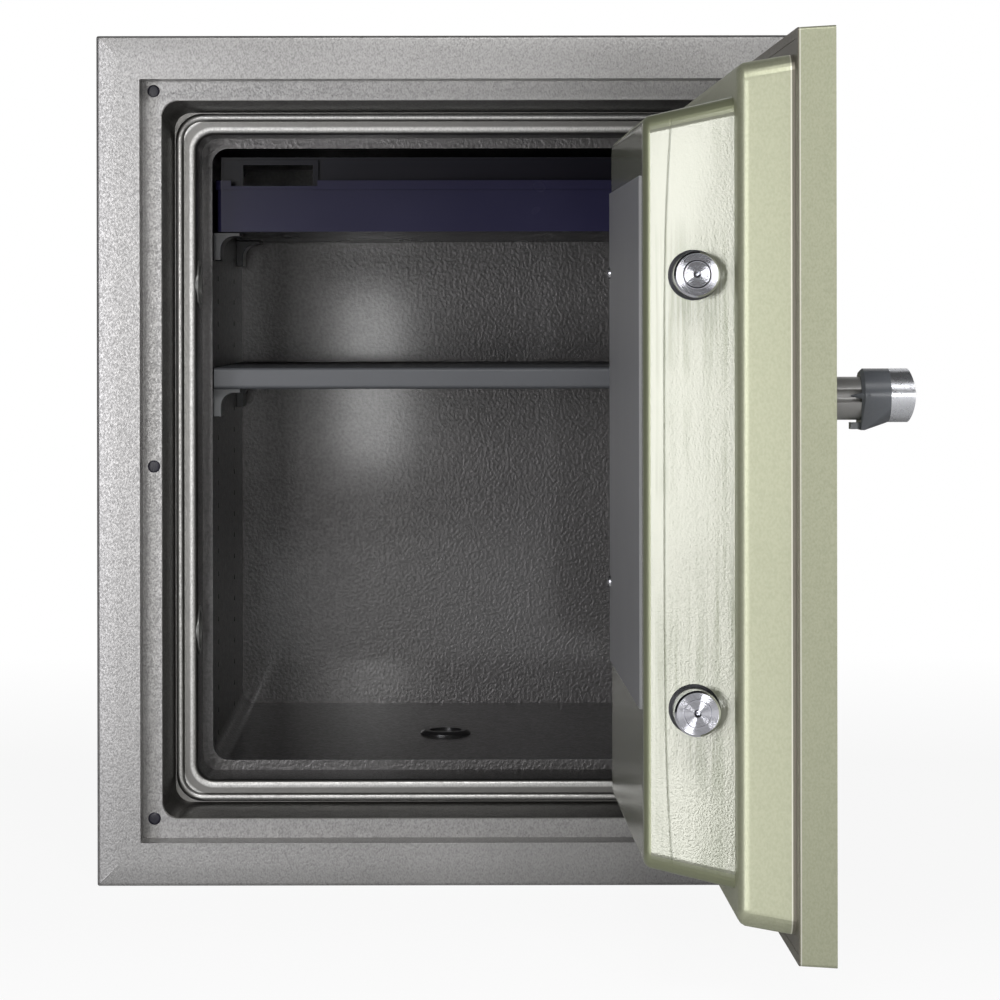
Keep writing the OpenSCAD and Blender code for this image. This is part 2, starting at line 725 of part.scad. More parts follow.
// Plate that joins both bolts and carries the crank's slot
module bolt_carriage() color(steel) on_door() {
  x0 = bolt_x0 + bolt_tail;
  plate_x = 36;
  end = 18;
  bar_h = 44;
  slot_w = crank_pin_w + 2 * slot_gap;
  arm_x = handle_x - bolt_travel / 2;
  difference() {
    union() {
      translate([x0, door_y + carriage_d, bolt_low - end])
        cube([plate_x, carriage_t, bolt_high - bolt_low + 2 * end]);
      translate([arm_x - slot_w / 2 - 3.5, door_y + carriage_d, handle_z])
        cube([x0 - arm_x + slot_w + over, carriage_t, bar_h]);
      for (z = bolt_zs) translate([x0, door_y + bolt_d - bolt_w / 2 + 1, z - bolt_w / 2])
        cube([4, carriage_d + carriage_t - bolt_d + bolt_w / 2 - 1, bolt_w]);
    }
    for (z = [bolt_low + 60, mid_z - 20, bolt_high - 30])
      rod_y(door_y + carriage_d - over, door_y + carriage_d + carriage_t + over, x0 + plate_x / 2, z, 12);
    translate([arm_x - slot_w / 2, door_y + carriage_d - over, handle_z - over])
      cube([slot_w, carriage_t + 2 * over, crank_r + crank_pin_w / 2 + 2 * slot_gap + over]);
  }
}

module handle_spindle() color(steel) on_door()
  rod_y(door_y - handle_out + lever_cap_t + 10, door_y + carriage_d - 6, handle_x, handle_z, spindle_w);

// Crank on the spindle's inner end, whose pin draws the carriage
module spindle_crank() color(dark_grey) on_door()
  translate([handle_x, 0, handle_z]) rotate([0, -handle_turn / 2, 0]) {
    hub = 24;
    along_y(door_y + carriage_d - 6, door_y + carriage_d - 1) {
      circle(d = hub);
      translate([-8, 0]) square([16, crank_r]);
      translate([0, crank_r]) circle(8);
    }
    rod_y(door_y + carriage_d - 2, door_y + carriage_d + carriage_t + 2, 0, crank_r, crank_pin_w);
  }

// Lobed neck between the door and the lever, which turns with the spindle
module handle_neck() color(steel) on_door() translate([handle_x, 0, handle_z - neck_drop]) {
  d0 = door_y - neck_l;
  d1 = door_y - seat;
  difference() {
    rod_y(d0, d1, 0, 0, neck_w);
    for (s = [-1, 1]) rod_y(d0 - over, d1 + over, s * neck_w / 2, neck_drop, groove_w);
    rod_y(d0 - over, d1 + over, 0, neck_drop, spindle_w + 2 * fit);
  }
}

// Front view of the lever: a round hub and a narrower arm, drawn in by an edge
module lever_hub(edge) circle(hub_w / 2 - edge);
module lever_arm(edge) hull() {
  circle(arm_h / 2 - edge);
  translate([lever_l - tip_h / 2, 0]) circle(tip_h / 2 - edge);
}

// Lever moulding, with a lip below its hub, a stop lug and a nose in the neck's groove
module lever_body() color(dark_grey) on_door() translate([handle_x, 0, handle_z]) {
  d0 = door_y - handle_out + lever_cap_t;
  d1 = door_y - lever_d;
  difference() {
    union() {
      hull() {
        along_y(d0, d1 - hub_chamfer) lever_hub(0, $fn = hull_fn);
        along_y(d1 - sliver, d1) lever_hub(hub_chamfer, $fn = hull_fn);
        translate([-arm_h / 2, d1 - hub_chamfer, -hub_w / 2 - lip_drop]) cube([arm_h, hub_chamfer, 2]);
      }
      hull() {
        along_y(d0, d0 + sliver) lever_arm(0, $fn = hull_fn);
        along_y(d1 - hub_chamfer - sliver, d1 - hub_chamfer) lever_arm(1, $fn = hull_fn);
      }
      translate([-4, d1 - over, -hub_w / 2 - lip_drop + 0.4]) cube([8, lug_l + over, 4]);
    }
    translate([0, 0, -neck_drop]) rod_y(door_y - neck_l - seat, d1 + over, 0, 0, neck_w + 2 * seat);
    rod_y(d0 + 10 - seat, d1 + over, 0, 0, spindle_w + 2 * fit);
  }
  translate([-neck_w / 2, door_y - nose_d, 0]) rotate([90, 0, 0])
    cylinder(h = neck_l - nose_d + 2, r1 = 0.3, r2 = groove_w / 2 - 0.6);
}

// Silver front of the lever, domed across its height
module lever_cap() color([0.8, 0.81, 0.83]) on_door() translate([handle_x, 0, handle_z]) intersection() {
  d0 = door_y - handle_out;
  dome_r = (pow(hub_w / 2, 2) + pow(lever_dome, 2)) / (2 * lever_dome);
  along_y(d0, d0 + lever_cap_t) {
    lever_hub(0, $fn = 64);
    lever_arm(0, $fn = hull_fn);
  }
  rod_x(-hub_w, lever_l + over, d0 + dome_r, 0, 2 * dome_r, $fn = 96);
}

// Combination lock behind the dial, screwed to the chamber's floor
module lock_case() color(steel) on_door() difference() {
  case_w = 90;
  case_h = 76;
  case_t = 24;
  d = door_y + chamber_d;
  translate([lock_x - case_w / 2, d, dial_z - case_h / 2]) cube([case_w, case_t, case_h]);
  rod_y(d - over, d + case_t + over, lock_x, dial_z, dial_spindle_w + 2 * fit);
  for (x = [-1, 1], z = [-1, 1])
    rod_y(d + case_t - 4, d + case_t + over, lock_x + x * (case_w / 2 - 6), dial_z + z * (case_h / 2 - 6), 7);
}

// Fixed ring around the dial, with an index nib at its top
module dial_ring() color(dark_grey) on_door() translate([lock_x, door_y, dial_z]) {
  rotate([90, 0, 0]) rotate_extrude()
    polygon([[dial_w / 2 + 0.4, 0], [dial_w / 2 + 7, 0], [dial_w / 2 + 6, 4], [dial_w / 2 + 3, 6],
             [dial_w / 2 + 0.4, 6]]);
  translate([-1, -7, dial_w / 2 + 1.5]) cube([2, 2, 3.5]);
}

// Turning dial with a fluted grip, on its spindle
module combination_dial() color(black) on_door() translate([lock_x, door_y, dial_z]) {
  rotate([90, 0, 0]) {
    difference() {
      rotate_extrude()
        polygon([[0, seat], [dial_w / 2, seat], [dial_w / 2, 5], [grip_w / 2 + 5, 10], [grip_w / 2, 11],
                 [grip_w / 2, 22], [grip_w / 2 - 2, 24], [0, 24]]);
      for (a = [0 : 20 : 340]) rotate([0, 0, a]) translate([grip_w / 2 + 1, 0, 12]) cylinder(h = 14, d = 4);
    }
    translate([0, 0, -chamber_d - 20]) cylinder(h = chamber_d + 21, d = dial_spindle_w);
  }
}

module key_housing() color(steel) on_door() translate([lock_x, door_y, key_z]) rotate([90, 0, 0])
  rotate_extrude() {
    wall = (key_housing_w - key_plug_w) / 2 - fit;
    translate([key_plug_w / 2 + fit, -chamber_d - 8]) square([wall, chamber_d + 9]);
    translate([key_plug_w / 2 + fit, 0])
      polygon([[0, 0], [wall + 5, 0], [wall + 5, 1.5], [wall + 2, 4], [0, 4]]);
  }

// Turning plug with its keyway, and a cam on its inner end
module key_plug() color(steel) on_door() translate([lock_x, door_y, key_z]) {
  difference() {
    rod_y(-4, chamber_d + 8.5, 0, 0, key_plug_w);
    translate([-1, -4 - over, -4]) cube([2, 22, 8]);
  }
  along_y(chamber_d + 8.5 - sliver, chamber_d + 12) {
    circle(d = key_plug_w);
    translate([0, -5]) square([18, 10]);
  }
}

// Places of the two hinges, at the middle of each barrel
hinge_zs = [border_w + door_gap + hinge_end, body_h - border_w - door_gap - hinge_end];
knuckle = barrel_l / 3;
knuckle_gap = 0.3;

module barrel(z0, z1) translate([hinge_x, hinge_y, z0]) difference() {
  cylinder(h = z1 - z0, d = barrel_w);
  translate([0, 0, -over]) cylinder(h = z1 - z0 + 2 * over, d = pin_w + 2 * fit);
}

module leaf(x0, x1, y) translate([x0, y, -barrel_l / 2]) cube([x1 - x0, leaf_t, barrel_l]);

// Outer knuckles and the leaf that is welded to the body's border
module frame_hinges() color(body_grey) for (z = hinge_zs) {
  for (s = [-1, 1]) translate([0, 0, z + s * knuckle])
    barrel(-knuckle / 2 + (s > 0 ? knuckle_gap : 0), knuckle / 2 - (s < 0 ? knuckle_gap : 0));
  translate([0, 0, z]) difference() {
    leaf(hinge_x, body_w / 2 - casing_r, front_y - leaf_t);
    translate([hinge_x - over, front_y - leaf_t - over, -knuckle / 2 - knuckle_gap])
      cube([barrel_w / 2 + over + 0.5, leaf_t + 2 * over, knuckle + 2 * knuckle_gap]);
    translate([hinge_x, hinge_y, -barrel_l]) cylinder(h = 2 * barrel_l, d = pin_w + 2 * fit);
  }
}

// Middle knuckles and the leaf that is welded to the door plate
module door_hinges() color(khaki) on_door() for (z = hinge_zs) {
  leaf_x = hinge_x - leaf_l;
  translate([0, 0, z]) {
    barrel(-knuckle / 2 + knuckle_gap, knuckle / 2 - knuckle_gap);
    difference() {
      leaf(leaf_x, hinge_x, door_y - leaf_t);
      for (s = [-1, 1]) translate([plate_w / 2 - 0.5, door_y - leaf_t - over, s * knuckle - knuckle / 2])
        translate([0, 0, s > 0 ? -knuckle_gap : -over])
          cube([barrel_w + 10, leaf_t + 2 * over, knuckle + over + knuckle_gap]);
      translate([hinge_x, hinge_y, -barrel_l]) cylinder(h = 2 * barrel_l, d = pin_w + 2 * fit);
    }
  }
}

// Pins with a low head on top of each barrel
module hinge_pins() color(steel) for (z = hinge_zs) translate([hinge_x, hinge_y, z - barrel_l / 2])
  rotate_extrude() {
    square([pin_w / 2, barrel_l + over]);
    translate([0, barrel_l + seat / 3])
      polygon([[0, 0], [barrel_w / 2 - 1, 0], [barrel_w / 2 - 1, 1.5], [barrel_w / 2 - 3, 3], [0, 3]]);
  }

outer_casing();
base_plate();
rebate_rim();
back_panel();
jamb_frame();
throat_frame();
body_insulation();
inner_liner();
anchor_sleeve();
anchor_cap();
rim_plugs();
bolt_sockets();
shelf();
shelf_brackets();
tray();
tray_brackets();
frame_hinges();
hinge_pins();
door_hinges();
door_skin();
door_inner_pan();
door_insulation();
inner_cover();
cover_screws();
bolt_guides();
live_bolts();
bolt_carriage();
handle_spindle();
handle_neck();
lever_body();
lever_cap();
spindle_crank();
lock_case();
dial_ring();
combination_dial();
key_housing();
key_plug();
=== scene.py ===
"""Fireproof safe with its stepped door standing open."""
import json
import math

import bmesh
import bpy
from mathutils import Matrix, Vector


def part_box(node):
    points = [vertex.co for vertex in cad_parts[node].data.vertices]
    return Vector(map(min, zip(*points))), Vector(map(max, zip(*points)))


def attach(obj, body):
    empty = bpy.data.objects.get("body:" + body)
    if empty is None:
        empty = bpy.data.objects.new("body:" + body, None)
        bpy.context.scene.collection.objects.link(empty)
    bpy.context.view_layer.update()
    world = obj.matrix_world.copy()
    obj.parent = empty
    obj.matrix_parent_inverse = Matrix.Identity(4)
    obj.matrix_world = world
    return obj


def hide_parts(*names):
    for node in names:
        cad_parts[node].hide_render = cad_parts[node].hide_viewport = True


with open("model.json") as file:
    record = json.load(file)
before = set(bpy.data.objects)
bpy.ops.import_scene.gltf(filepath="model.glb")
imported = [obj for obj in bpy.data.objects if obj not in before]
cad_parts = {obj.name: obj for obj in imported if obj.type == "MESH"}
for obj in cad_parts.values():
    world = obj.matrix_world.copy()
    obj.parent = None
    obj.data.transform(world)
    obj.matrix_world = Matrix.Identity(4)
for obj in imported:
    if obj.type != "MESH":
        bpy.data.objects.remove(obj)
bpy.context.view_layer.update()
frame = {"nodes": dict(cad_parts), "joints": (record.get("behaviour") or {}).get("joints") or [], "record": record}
nodes = frame["nodes"]
scene = bpy.context.scene
scene.view_settings.view_transform = "Standard"
MM = 0.001

# Camera
# It stands 2.29 m in front of the body at two thirds of its height, and looks straight in. The
# lens is shifted, so the depth lines meet left of the picture's middle and above it.
FRAME_PIXELS = 1000
FOCAL_PIXELS = 3192
VANISHING_X, VANISHING_Y = 445, 319.1
CAMERA_DISTANCE = 2.289
CAMERA_HEIGHT = 0.4065
CAMERA_ROLL = 0.0015
casing_low, casing_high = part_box("outer_casing")

camera_data = bpy.data.cameras.new("camera")
camera_data.sensor_width = 36
camera_data.lens = camera_data.sensor_width * FOCAL_PIXELS / FRAME_PIXELS
camera_data.shift_x = 0.5 - VANISHING_X / FRAME_PIXELS
camera_data.shift_y = VANISHING_Y / FRAME_PIXELS - 0.5
camera = bpy.data.objects.new("camera", camera_data)
camera.location = (0, casing_low.y - CAMERA_DISTANCE, CAMERA_HEIGHT)
camera.rotation_euler = (math.pi / 2, CAMERA_ROLL, 0)
scene.collection.objects.link(camera)
scene.camera = camera

# Floor, backdrop and lamps
# The safe stands on a white studio sheet that curves up behind it. Two tall softboxes left of the
# camera mirror in the left border and the door's slanted side; three smaller ones fill in.


class Maths:
    """A number in a material: each operator on it adds a Math node."""

    def __init__(self, finish, socket):
        self.finish, self.socket = finish, socket

    def math(self, operation, *others, swap=False):
        values = [self, *others]
        if swap:
            values.reverse()
        node = self.finish.node("ShaderNodeMath", {"operation": operation}, dict(enumerate(values)))
        return Maths(self.finish, node.outputs[0])

    def __add__(self, other):
        return self.math("ADD", other)

    def __mul__(self, other):
        return self.math("MULTIPLY", other)

    def __sub__(self, other):
        return self.math("SUBTRACT", other)

    def __rsub__(self, other):
        return self.math("SUBTRACT", other, swap=True)

    def __truediv__(self, other):
        return self.math("DIVIDE", other)

    def __abs__(self):
        return self.math("ABSOLUTE")

    __radd__, __rmul__ = __add__, __mul__


class Finish:
    """One material, built node by node around its Principled shader."""

    def __init__(self, name, colour=(1, 1, 1), **shader_values):
        self.material = bpy.data.materials.new(name)
        self.material.use_nodes = True
        self.tree = self.material.node_tree
        self.shader = self.tree.nodes["Principled BSDF"]
        self.output = self.tree.nodes["Material Output"]
        self.relief = None
        self.set(self.shader, "Base Color", (*colour, 1))
        for label, value in shader_values.items():
            socket = label if label.isupper() else label.replace("_", " ").title()
            self.set(self.shader, socket, value)

    def set(self, node, key, value):
        value = value.socket if isinstance(value, Maths) else value
        if isinstance(value, bpy.types.NodeSocket):
            self.tree.links.new(value, node.inputs[key])
        else:
            node.inputs[key].default_value = value

    def node(self, kind, settings=None, sockets=None):
        """A node of one type, with its settings first and then the values or links of its sockets."""
        node = self.tree.nodes.new(kind)
        for key, value in (settings or {}).items():
            if key == "stops":
                elements = node.color_ramp.elements
                while len(elements) < len(value):
                    elements.new(0.5)
                for element, (place, level) in zip(elements, value):
                    element.position = place
                    element.color = (level, level, level, 1)
            else:
                setattr(node, key, value)
        for key, value in (sockets or {}).items():
            self.set(node, key, value)
        return node

    def place(self, scale=(1, 1, 1), turn=(0, 0, 0), centre=(0, 0, 0)):
        """Object coordinates about a centre, turned and scaled."""
        spot = self.node("ShaderNodeTexCoord").outputs["Object"]
        moved = self.node("ShaderNodeVectorMath", {"operation": "SUBTRACT"}, {0: spot, 1: centre})
        return self.node("ShaderNodeMapping", {}, {"Vector": moved.outputs[0], "Rotation": turn,
                                                   "Scale": scale}).outputs[0]

    def axes(self, centre=(0, 0, 0), turn=(0, 0, 0)):
        parts = self.node("ShaderNodeSeparateXYZ", {}, {0: self.place(centre=centre, turn=turn)}).outputs
        return [Maths(self, part) for part in parts]

    def noise(self, scale, detail=2.0, roughness=0.5, spot=None, distortion=0.0):
        node = self.node("ShaderNodeTexNoise", {}, {
            "Vector": spot or self.place(), "Scale": scale, "Detail": detail,
            "Roughness": roughness, "Distortion": distortion})
        return Maths(self, node.outputs["Fac"])

    def spots(self, scale, low, high):
        """Round spots of radius high / scale, one in each cell of a random grid."""
        node = self.node("ShaderNodeTexVoronoi", {}, {"Vector": self.place(), "Scale": scale})
        return self.ramp(Maths(self, node.outputs["Distance"]), (low, 1.0), (high, 0.0))

    def ramp(self, value, *stops):
        node = self.node("ShaderNodeValToRGB", {"stops": stops}, {"Fac": value})
        return Maths(self, node.outputs["Color"])

    def mix(self, share, first, second):
        pair = [(*c, 1) if isinstance(c, tuple) else c for c in (first, second)]
        node = self.node("ShaderNodeMix", {"data_type": "RGBA"}, {0: share, 6: pair[0], 7: pair[1]})
        return node.outputs[2]

    def colour(self, socket):
        self.set(self.shader, "Base Color", socket)

    def roughness(self, value):
        self.set(self.shader, "Roughness", value)

    def bump(self, height):
        """Raises the surface by a height in metres, in place of any height set before."""
        if self.relief is None:
            self.relief = self.node("ShaderNodeBump", {}, {"Strength": 1.0, "Distance": 1.0})
            self.set(self.shader, "Normal", self.relief.outputs[0])
        self.set(self.relief, "Height", height)

    def on(self, *objects):
        for piece in objects:
            piece.data.materials.clear()
            piece.data.materials.append(self.material)


FLOOR_COLOUR = (0.85, 0.85, 0.85)
FLOOR_GLOW = 0.92
MIRRORED_NEAR, MIRRORED_FAR = 0.1, 0.6
NEAR_SHARE, WHITE_SHARE, MIRROR_SHARE = 0.15, 0.5, 0.6
SIDE_FROM, SIDE_WIDTH = -0.3, 0.16
FLOOR_REACH = 6.0
FLOOR_FRONT = 3.4
BACKDROP_Y = 2.6
BACKDROP_TOP = 4.0
BEND_RADIUS = 1.2
BEND_STEPS = 12

floor_mesh = bpy.data.meshes.new("floor")
side_view = [(-FLOOR_FRONT, 0), *[
    (BACKDROP_Y - BEND_RADIUS * (1 - math.sin(a)), BEND_RADIUS * (1 - math.cos(a)))
    for a in [i * math.pi / 2 / BEND_STEPS for i in range(BEND_STEPS + 1)]], (BACKDROP_Y, BACKDROP_TOP)]
corners = [(x, y, z) for y, z in side_view for x in (-FLOOR_REACH, FLOOR_REACH)]
strips = [(2 * i, 2 * i + 1, 2 * i + 3, 2 * i + 2) for i in range(len(side_view) - 1)]
floor_mesh.from_pydata(corners, [], strips)
floor_mesh.shade_smooth()
floor = bpy.data.objects.new("floor", floor_mesh)
scene.collection.objects.link(floor)


def glow_to_camera(finish, shader_socket, share, mirrored):
    """Shows white by one share to the camera and by another in reflections, and else the shader.

    The camera looks through it from behind.
    """
    rays = finish.node("ShaderNodeLightPath").outputs
    seen = [Maths(finish, rays[name]) for name in
            ("Is Camera Ray", "Is Glossy Ray", "Is Transmission Ray")]
    any_ray = (seen[0] * share).math("MAXIMUM", seen[1].math("MAXIMUM", seen[2]) * mirrored)
    glow = finish.node("ShaderNodeEmission", {}, {"Color": (1, 1, 1, 1), "Strength": 1.0})
    both = finish.node("ShaderNodeMixShader", {}, {
        0: any_ray, 1: shader_socket, 2: glow.outputs[0]})
    from_behind = Maths(finish, finish.node("ShaderNodeNewGeometry").outputs["Backfacing"])
    clear = finish.node("ShaderNodeBsdfTransparent")
    one_way = finish.node("ShaderNodeMixShader", {}, {
        0: from_behind * seen[0], 1: both.outputs[0], 2: clear.outputs[0]})
    finish.set(finish.output, "Surface", one_way.outputs[0])


studio_sheet = Finish("studio_sheet", FLOOR_COLOUR, roughness=0.9)
sheet_x, sheet_y, _ = studio_sheet.axes()
away = abs(sheet_y) / BACKDROP_Y
far_away = studio_sheet.ramp(away, (NEAR_SHARE, 0.0), (WHITE_SHARE, 1.0))
beside = (studio_sheet.ramp(away, (NEAR_SHARE, 0.0), (MIRROR_SHARE, 1.0))
          * studio_sheet.ramp(sheet_x - SIDE_FROM, (0.0, 0.0), (SIDE_WIDTH, 1.0)))
glow_to_camera(studio_sheet, studio_sheet.shader.outputs[0],
               far_away * (1 - FLOOR_GLOW) + FLOOR_GLOW,
               beside * (MIRRORED_FAR - MIRRORED_NEAR) + MIRRORED_NEAR)
studio_sheet.on(floor)


def lamp(name, place, aim, size, watts, colour=(1, 1, 1)):
    data = bpy.data.lights.new(name, "AREA")
    data.shape, data.size, data.size_y = "RECTANGLE", *size
    data.energy, data.color = watts, colour
    made = bpy.data.objects.new(name, data)
    made.location = place
    made.rotation_euler = (Vector(aim) - Vector(place)).to_track_quat("-Z", "Y").to_euler()
    scene.collection.objects.link(made)


lamp("key_softbox", (-0.67, -2.6, 0.39), (0, -0.2, 0.33), (0.5, 0.76), 8.7)
lamp("left_softbox", (-1.2, -2.3, 0.42), (-0.1, -0.3, 0.3), (0.4, 0.8), 10.5, (0.92, 0.93, 1.0))
lamp("camera_softbox", (-0.13, -2.75, 0.30), (0, 0.2, 0.33), (0.1, 0.3), 0.74)
lamp("right_softbox", (0.6, -2.5, 0.46), (0.1, -0.3, 0.35), (0.24, 0.34), 2.8)
lamp("top_softbox", (0.05, -1.9, 1.6), (0.15, -0.5, 0.4), (0.8, 0.6), 12.5)

WORLD_LEVEL = 0.025
world = bpy.data.worlds.new("studio")
world.use_nodes = True
background = world.node_tree.nodes["Background"]
background.inputs["Color"].default_value = (1, 1, 1, 1)
world_rays = world.node_tree.nodes.new("ShaderNodeLightPath")
world_strength = world.node_tree.nodes.new("ShaderNodeMath")
world_strength.operation = "MAXIMUM"
world_strength.inputs[1].default_value = WORLD_LEVEL
world.node_tree.links.new(world_rays.outputs["Is Camera Ray"], world_strength.inputs[0])
world.node_tree.links.new(world_strength.outputs[0], background.inputs["Strength"])
scene.world = world

# Casing
# The outer casing is folded from 2 mm steel, mitred and welded at the corners of its border, and
# sprayed with a silver-grey hammertone enamel that dries in short dimples with darker specks.
MERGE = 0.02 * MM
SMOOTH_ANGLE = 32
BEVEL_MARGIN = 8
BEVEL_SEGMENTS = 2
SPECK_GRID = 170.0
record = frame["record"]
body_of = {node: body for body, group in record["behaviour"]["bodies"].items() for node in group}


def seat(piece, node, *replaced):
    """Lets a piece move with a CAD node and stand for the nodes it replaces."""
    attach(piece, body_of[node])
    if replaced:
        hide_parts(*replaced)


def smooth_form(mesh, crease=SMOOTH_ANGLE):
    """Shades a mesh smooth, but for the edges where its faces turn by more than the crease."""
    form = bmesh.new()
    form.from_mesh(mesh)
    bmesh.ops.remove_doubles(form, verts=form.verts, dist=MERGE)
    bmesh.ops.dissolve_degenerate(form, edges=form.edges, dist=MERGE)
    for face in form.faces:
        face.smooth = True
    for edge in form.edges:
        edge.smooth = edge.is_manifold and edge.calc_face_angle(0) < math.radians(crease)
    form.to_mesh(mesh)
    form.free()


def skin(node, name, finish, edge=0.0, crease=SMOOTH_ANGLE):
    """A merged copy of a CAD node with smooth curves and, where edge is set, broken edges."""
    mesh = nodes[node].data.copy()
    mesh.name = name
    smooth_form(mesh, crease)
    piece = bpy.data.objects.new(name, mesh)
    scene.collection.objects.link(piece)
    if edge:
        bevel = piece.modifiers.new("broken_edges", "BEVEL")
        bevel.width, bevel.segments = edge, BEVEL_SEGMENTS
        bevel.limit_method, bevel.angle_limit = "ANGLE", math.radians(crease + BEVEL_MARGIN)
        bevel.use_clamp_overlap = True
        bevel.harden_normals = False
    weights = piece.modifiers.new("flat_faces", "WEIGHTED_NORMAL")
    weights.keep_sharp = True
    finish.on(piece)
    seat(piece, node, node)
    return piece


def hammertone(name, light, dark, rough, dimple, grain=800.0, specks=0.6, coat=0.15, metal=0.7):
    """Enamel in two close tones with dimples and dark specks; keeps its tones and its height."""
    made = Finish(name, roughness=rough, metallic=metal, coat_weight=coat, coat_roughness=0.2)
    strokes = made.noise(grain, 2.0, 0.5, spot=made.place(scale=(1, 1, 0.7), turn=(0, 0.5, 0)))
    coarse = made.noise(grain * 0.4, 1.0, 0.5)
    dimples = made.ramp(strokes * 0.75 + coarse * 0.25, (0.36, 0.0), (0.6, 1.0))
    dots = made.spots(SPECK_GRID, 0.05, 0.1)
    tide = made.noise(6.0, 2.0, 0.5)
    share = dimples * 0.45 + tide * 0.4 + 0.08 - dots * specks
    made.tones = made.mix(share.math("MAXIMUM", 0.0), dark, light)
    made.colour(made.tones)
    made.roughness(rough + 0.14 - dimples * 0.14)
    made.height = dimples * (dimple * MM) - dots * (dimple * MM * 0.7)
    made.bump(made.height)
    return made


CROWN_WIDTH = 17 * MM
CROWN_SLOPE = 0.1
WELD_HALF_WIDTH = 0.9 * MM
WELD_LENGTH = 17 * MM
WELD_HEIGHT = 0.22 * MM
WELD_GRAIN = 900

casing_enamel = hammertone("casing_enamel", (0.50, 0.49, 0.48), (0.22, 0.215, 0.21), 0.37, 0.05)
casing_x, _, casing_z = casing_enamel.axes((0, 0, casing_high.z / 2))
edge_x = casing_high.x - abs(casing_x)
edge_z = casing_high.z / 2 - abs(casing_z)
edge_run = edge_x.math("MINIMUM", edge_z)
crown = (CROWN_WIDTH - edge_run).math("MAXIMUM", 0.0)
mitre = 1 - (abs(edge_x - edge_z) / WELD_HALF_WIDTH).math("MINIMUM", 1.0)
weld = mitre * (1 - (edge_run / WELD_LENGTH).math("MINIMUM", 1.0)) * casing_enamel.noise(WELD_GRAIN)
crown_height = crown * crown * (-CROWN_SLOPE / 2 / CROWN_WIDTH)
casing_enamel.bump(casing_enamel.height + crown_height + weld * WELD_HEIGHT)
skin("outer_casing", "casing", casing_enamel)
skin("base_plate", "casing_bottom", casing_enamel)
skin("rebate_rim", "rebate_rim_sheet", casing_enamel)

# Back panel
# A pressed sheet closes the back. It is welded inside the casing's folded edge and sprayed with
# the same enamel, without the border's crown.
panel_enamel = hammertone("panel_enamel", (0.48, 0.47, 0.46), (0.22, 0.215, 0.21), 0.46, 0.05)
skin("back_panel", "rear_panel", panel_enamel)

# Jamb moulding
# The stepped throat behind the door is one moulding, screwed on with six plugged screws. The
# enamel lies thicker on it, so it is smoother and glossier. Bead and lip keep the enamel's light
# tones as painted highlights, the coves between them are a darker grey as painted shade, and faces
# that don't look forward are near-black as painted shade.
# The cove grey is painted shade between bead and lip; the wall grey is painted shade on faces that don't look
# forward.
COVE_SHADE_GREY = (0.19, 0.185, 0.175)
WALL_SHADE_GREY = (0.05, 0.048, 0.043)
LIP_INSET = 26.5 * MM
LIP_CORNER = 12 * MM
LIP_SPAN = 20 * MM


def facing(finish, *pieces, upward=0.0):
    """1 on faces that look forward, less on those that look up, 0 on walls; from an attribute. It is the share
    kept free of painted wall shade.
    """
    for piece in pieces:
        layer = piece.data.attributes.new("facing", "FLOAT", "FACE")
        layer.data.foreach_set("value", [max(abs(face.normal.y), face.normal.z * upward)
                                         for face in piece.data.polygons])
    return Maths(finish, finish.node("ShaderNodeAttribute", {"attribute_name": "facing"}).outputs["Fac"])


jamb_enamel = hammertone("jamb_enamel", (0.66, 0.65, 0.63), (0.40, 0.395, 0.38), 0.34, 0.02,
                         specks=0.4, coat=0.3, metal=0.92)
jamb_front_unshaded = facing(jamb_enamel, skin("jamb_frame", "jamb_moulding", jamb_enamel),
                    skin("throat_frame", "throat_moulding", jamb_enamel))
jamb_front_unshaded = jamb_enamel.ramp(jamb_front_unshaded, (0.15, 0.0), (0.55, 1.0))
throat_low, throat_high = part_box("throat_frame")
jamb_x, _, jamb_z = jamb_enamel.axes((0, 0, (throat_low.z + throat_high.z) / 2))
core_x = throat_high.x - LIP_INSET - LIP_CORNER
core_z = (throat_high.z - throat_low.z) / 2 - LIP_INSET - LIP_CORNER
past_x = (abs(jamb_x) - core_x).math("MAXIMUM", 0.0)
past_z = (abs(jamb_z) - core_z).math("MAXIMUM", 0.0)
lip_run = (past_x * past_x + past_z * past_z).math("SQRT") - LIP_CORNER
# Painted highlights: the crests of bead and lip keep the light enamel tones, and the coves between them get the
# painted-shade grey.
crest_highlights = jamb_enamel.ramp(lip_run / LIP_SPAN, (0.06, 0.0), (0.10, 1.0), (0.23, 1.0), (0.30, 0.0),
                          (0.52, 0.0), (0.58, 1.0), (0.72, 1.0), (0.78, 0.0))
jamb_highlights_and_shade = jamb_enamel.mix(crest_highlights, COVE_SHADE_GREY, jamb_enamel.tones)
# Painted shade: faces that don't look forward turn to the dark wall grey.
jamb_enamel.colour(jamb_enamel.mix(jamb_front_unshaded, WALL_SHADE_GREY, jamb_highlights_and_shade))

# Fire filling
# Light cast cement fills the body's double wall and the door. Nothing of it shows, but its
# finish is the pale, slightly porous face that it has when it sets against the steel.
cast_filling = Finish("cast_filling", roughness=0.95)
pores = cast_filling.spots(160, 0.12, 0.25)
sand = cast_filling.noise(90, 3.0)
cast_filling.colour(cast_filling.mix(sand * 0.8 + pores * 0.3, (0.66, 0.63, 0.56), (0.45, 0.43, 0.38)))
cast_filling.bump(sand * (0.2 * MM) - pores * (0.5 * MM))
cast_filling.on(nodes["body_insulation"], nodes["door_insulation"])

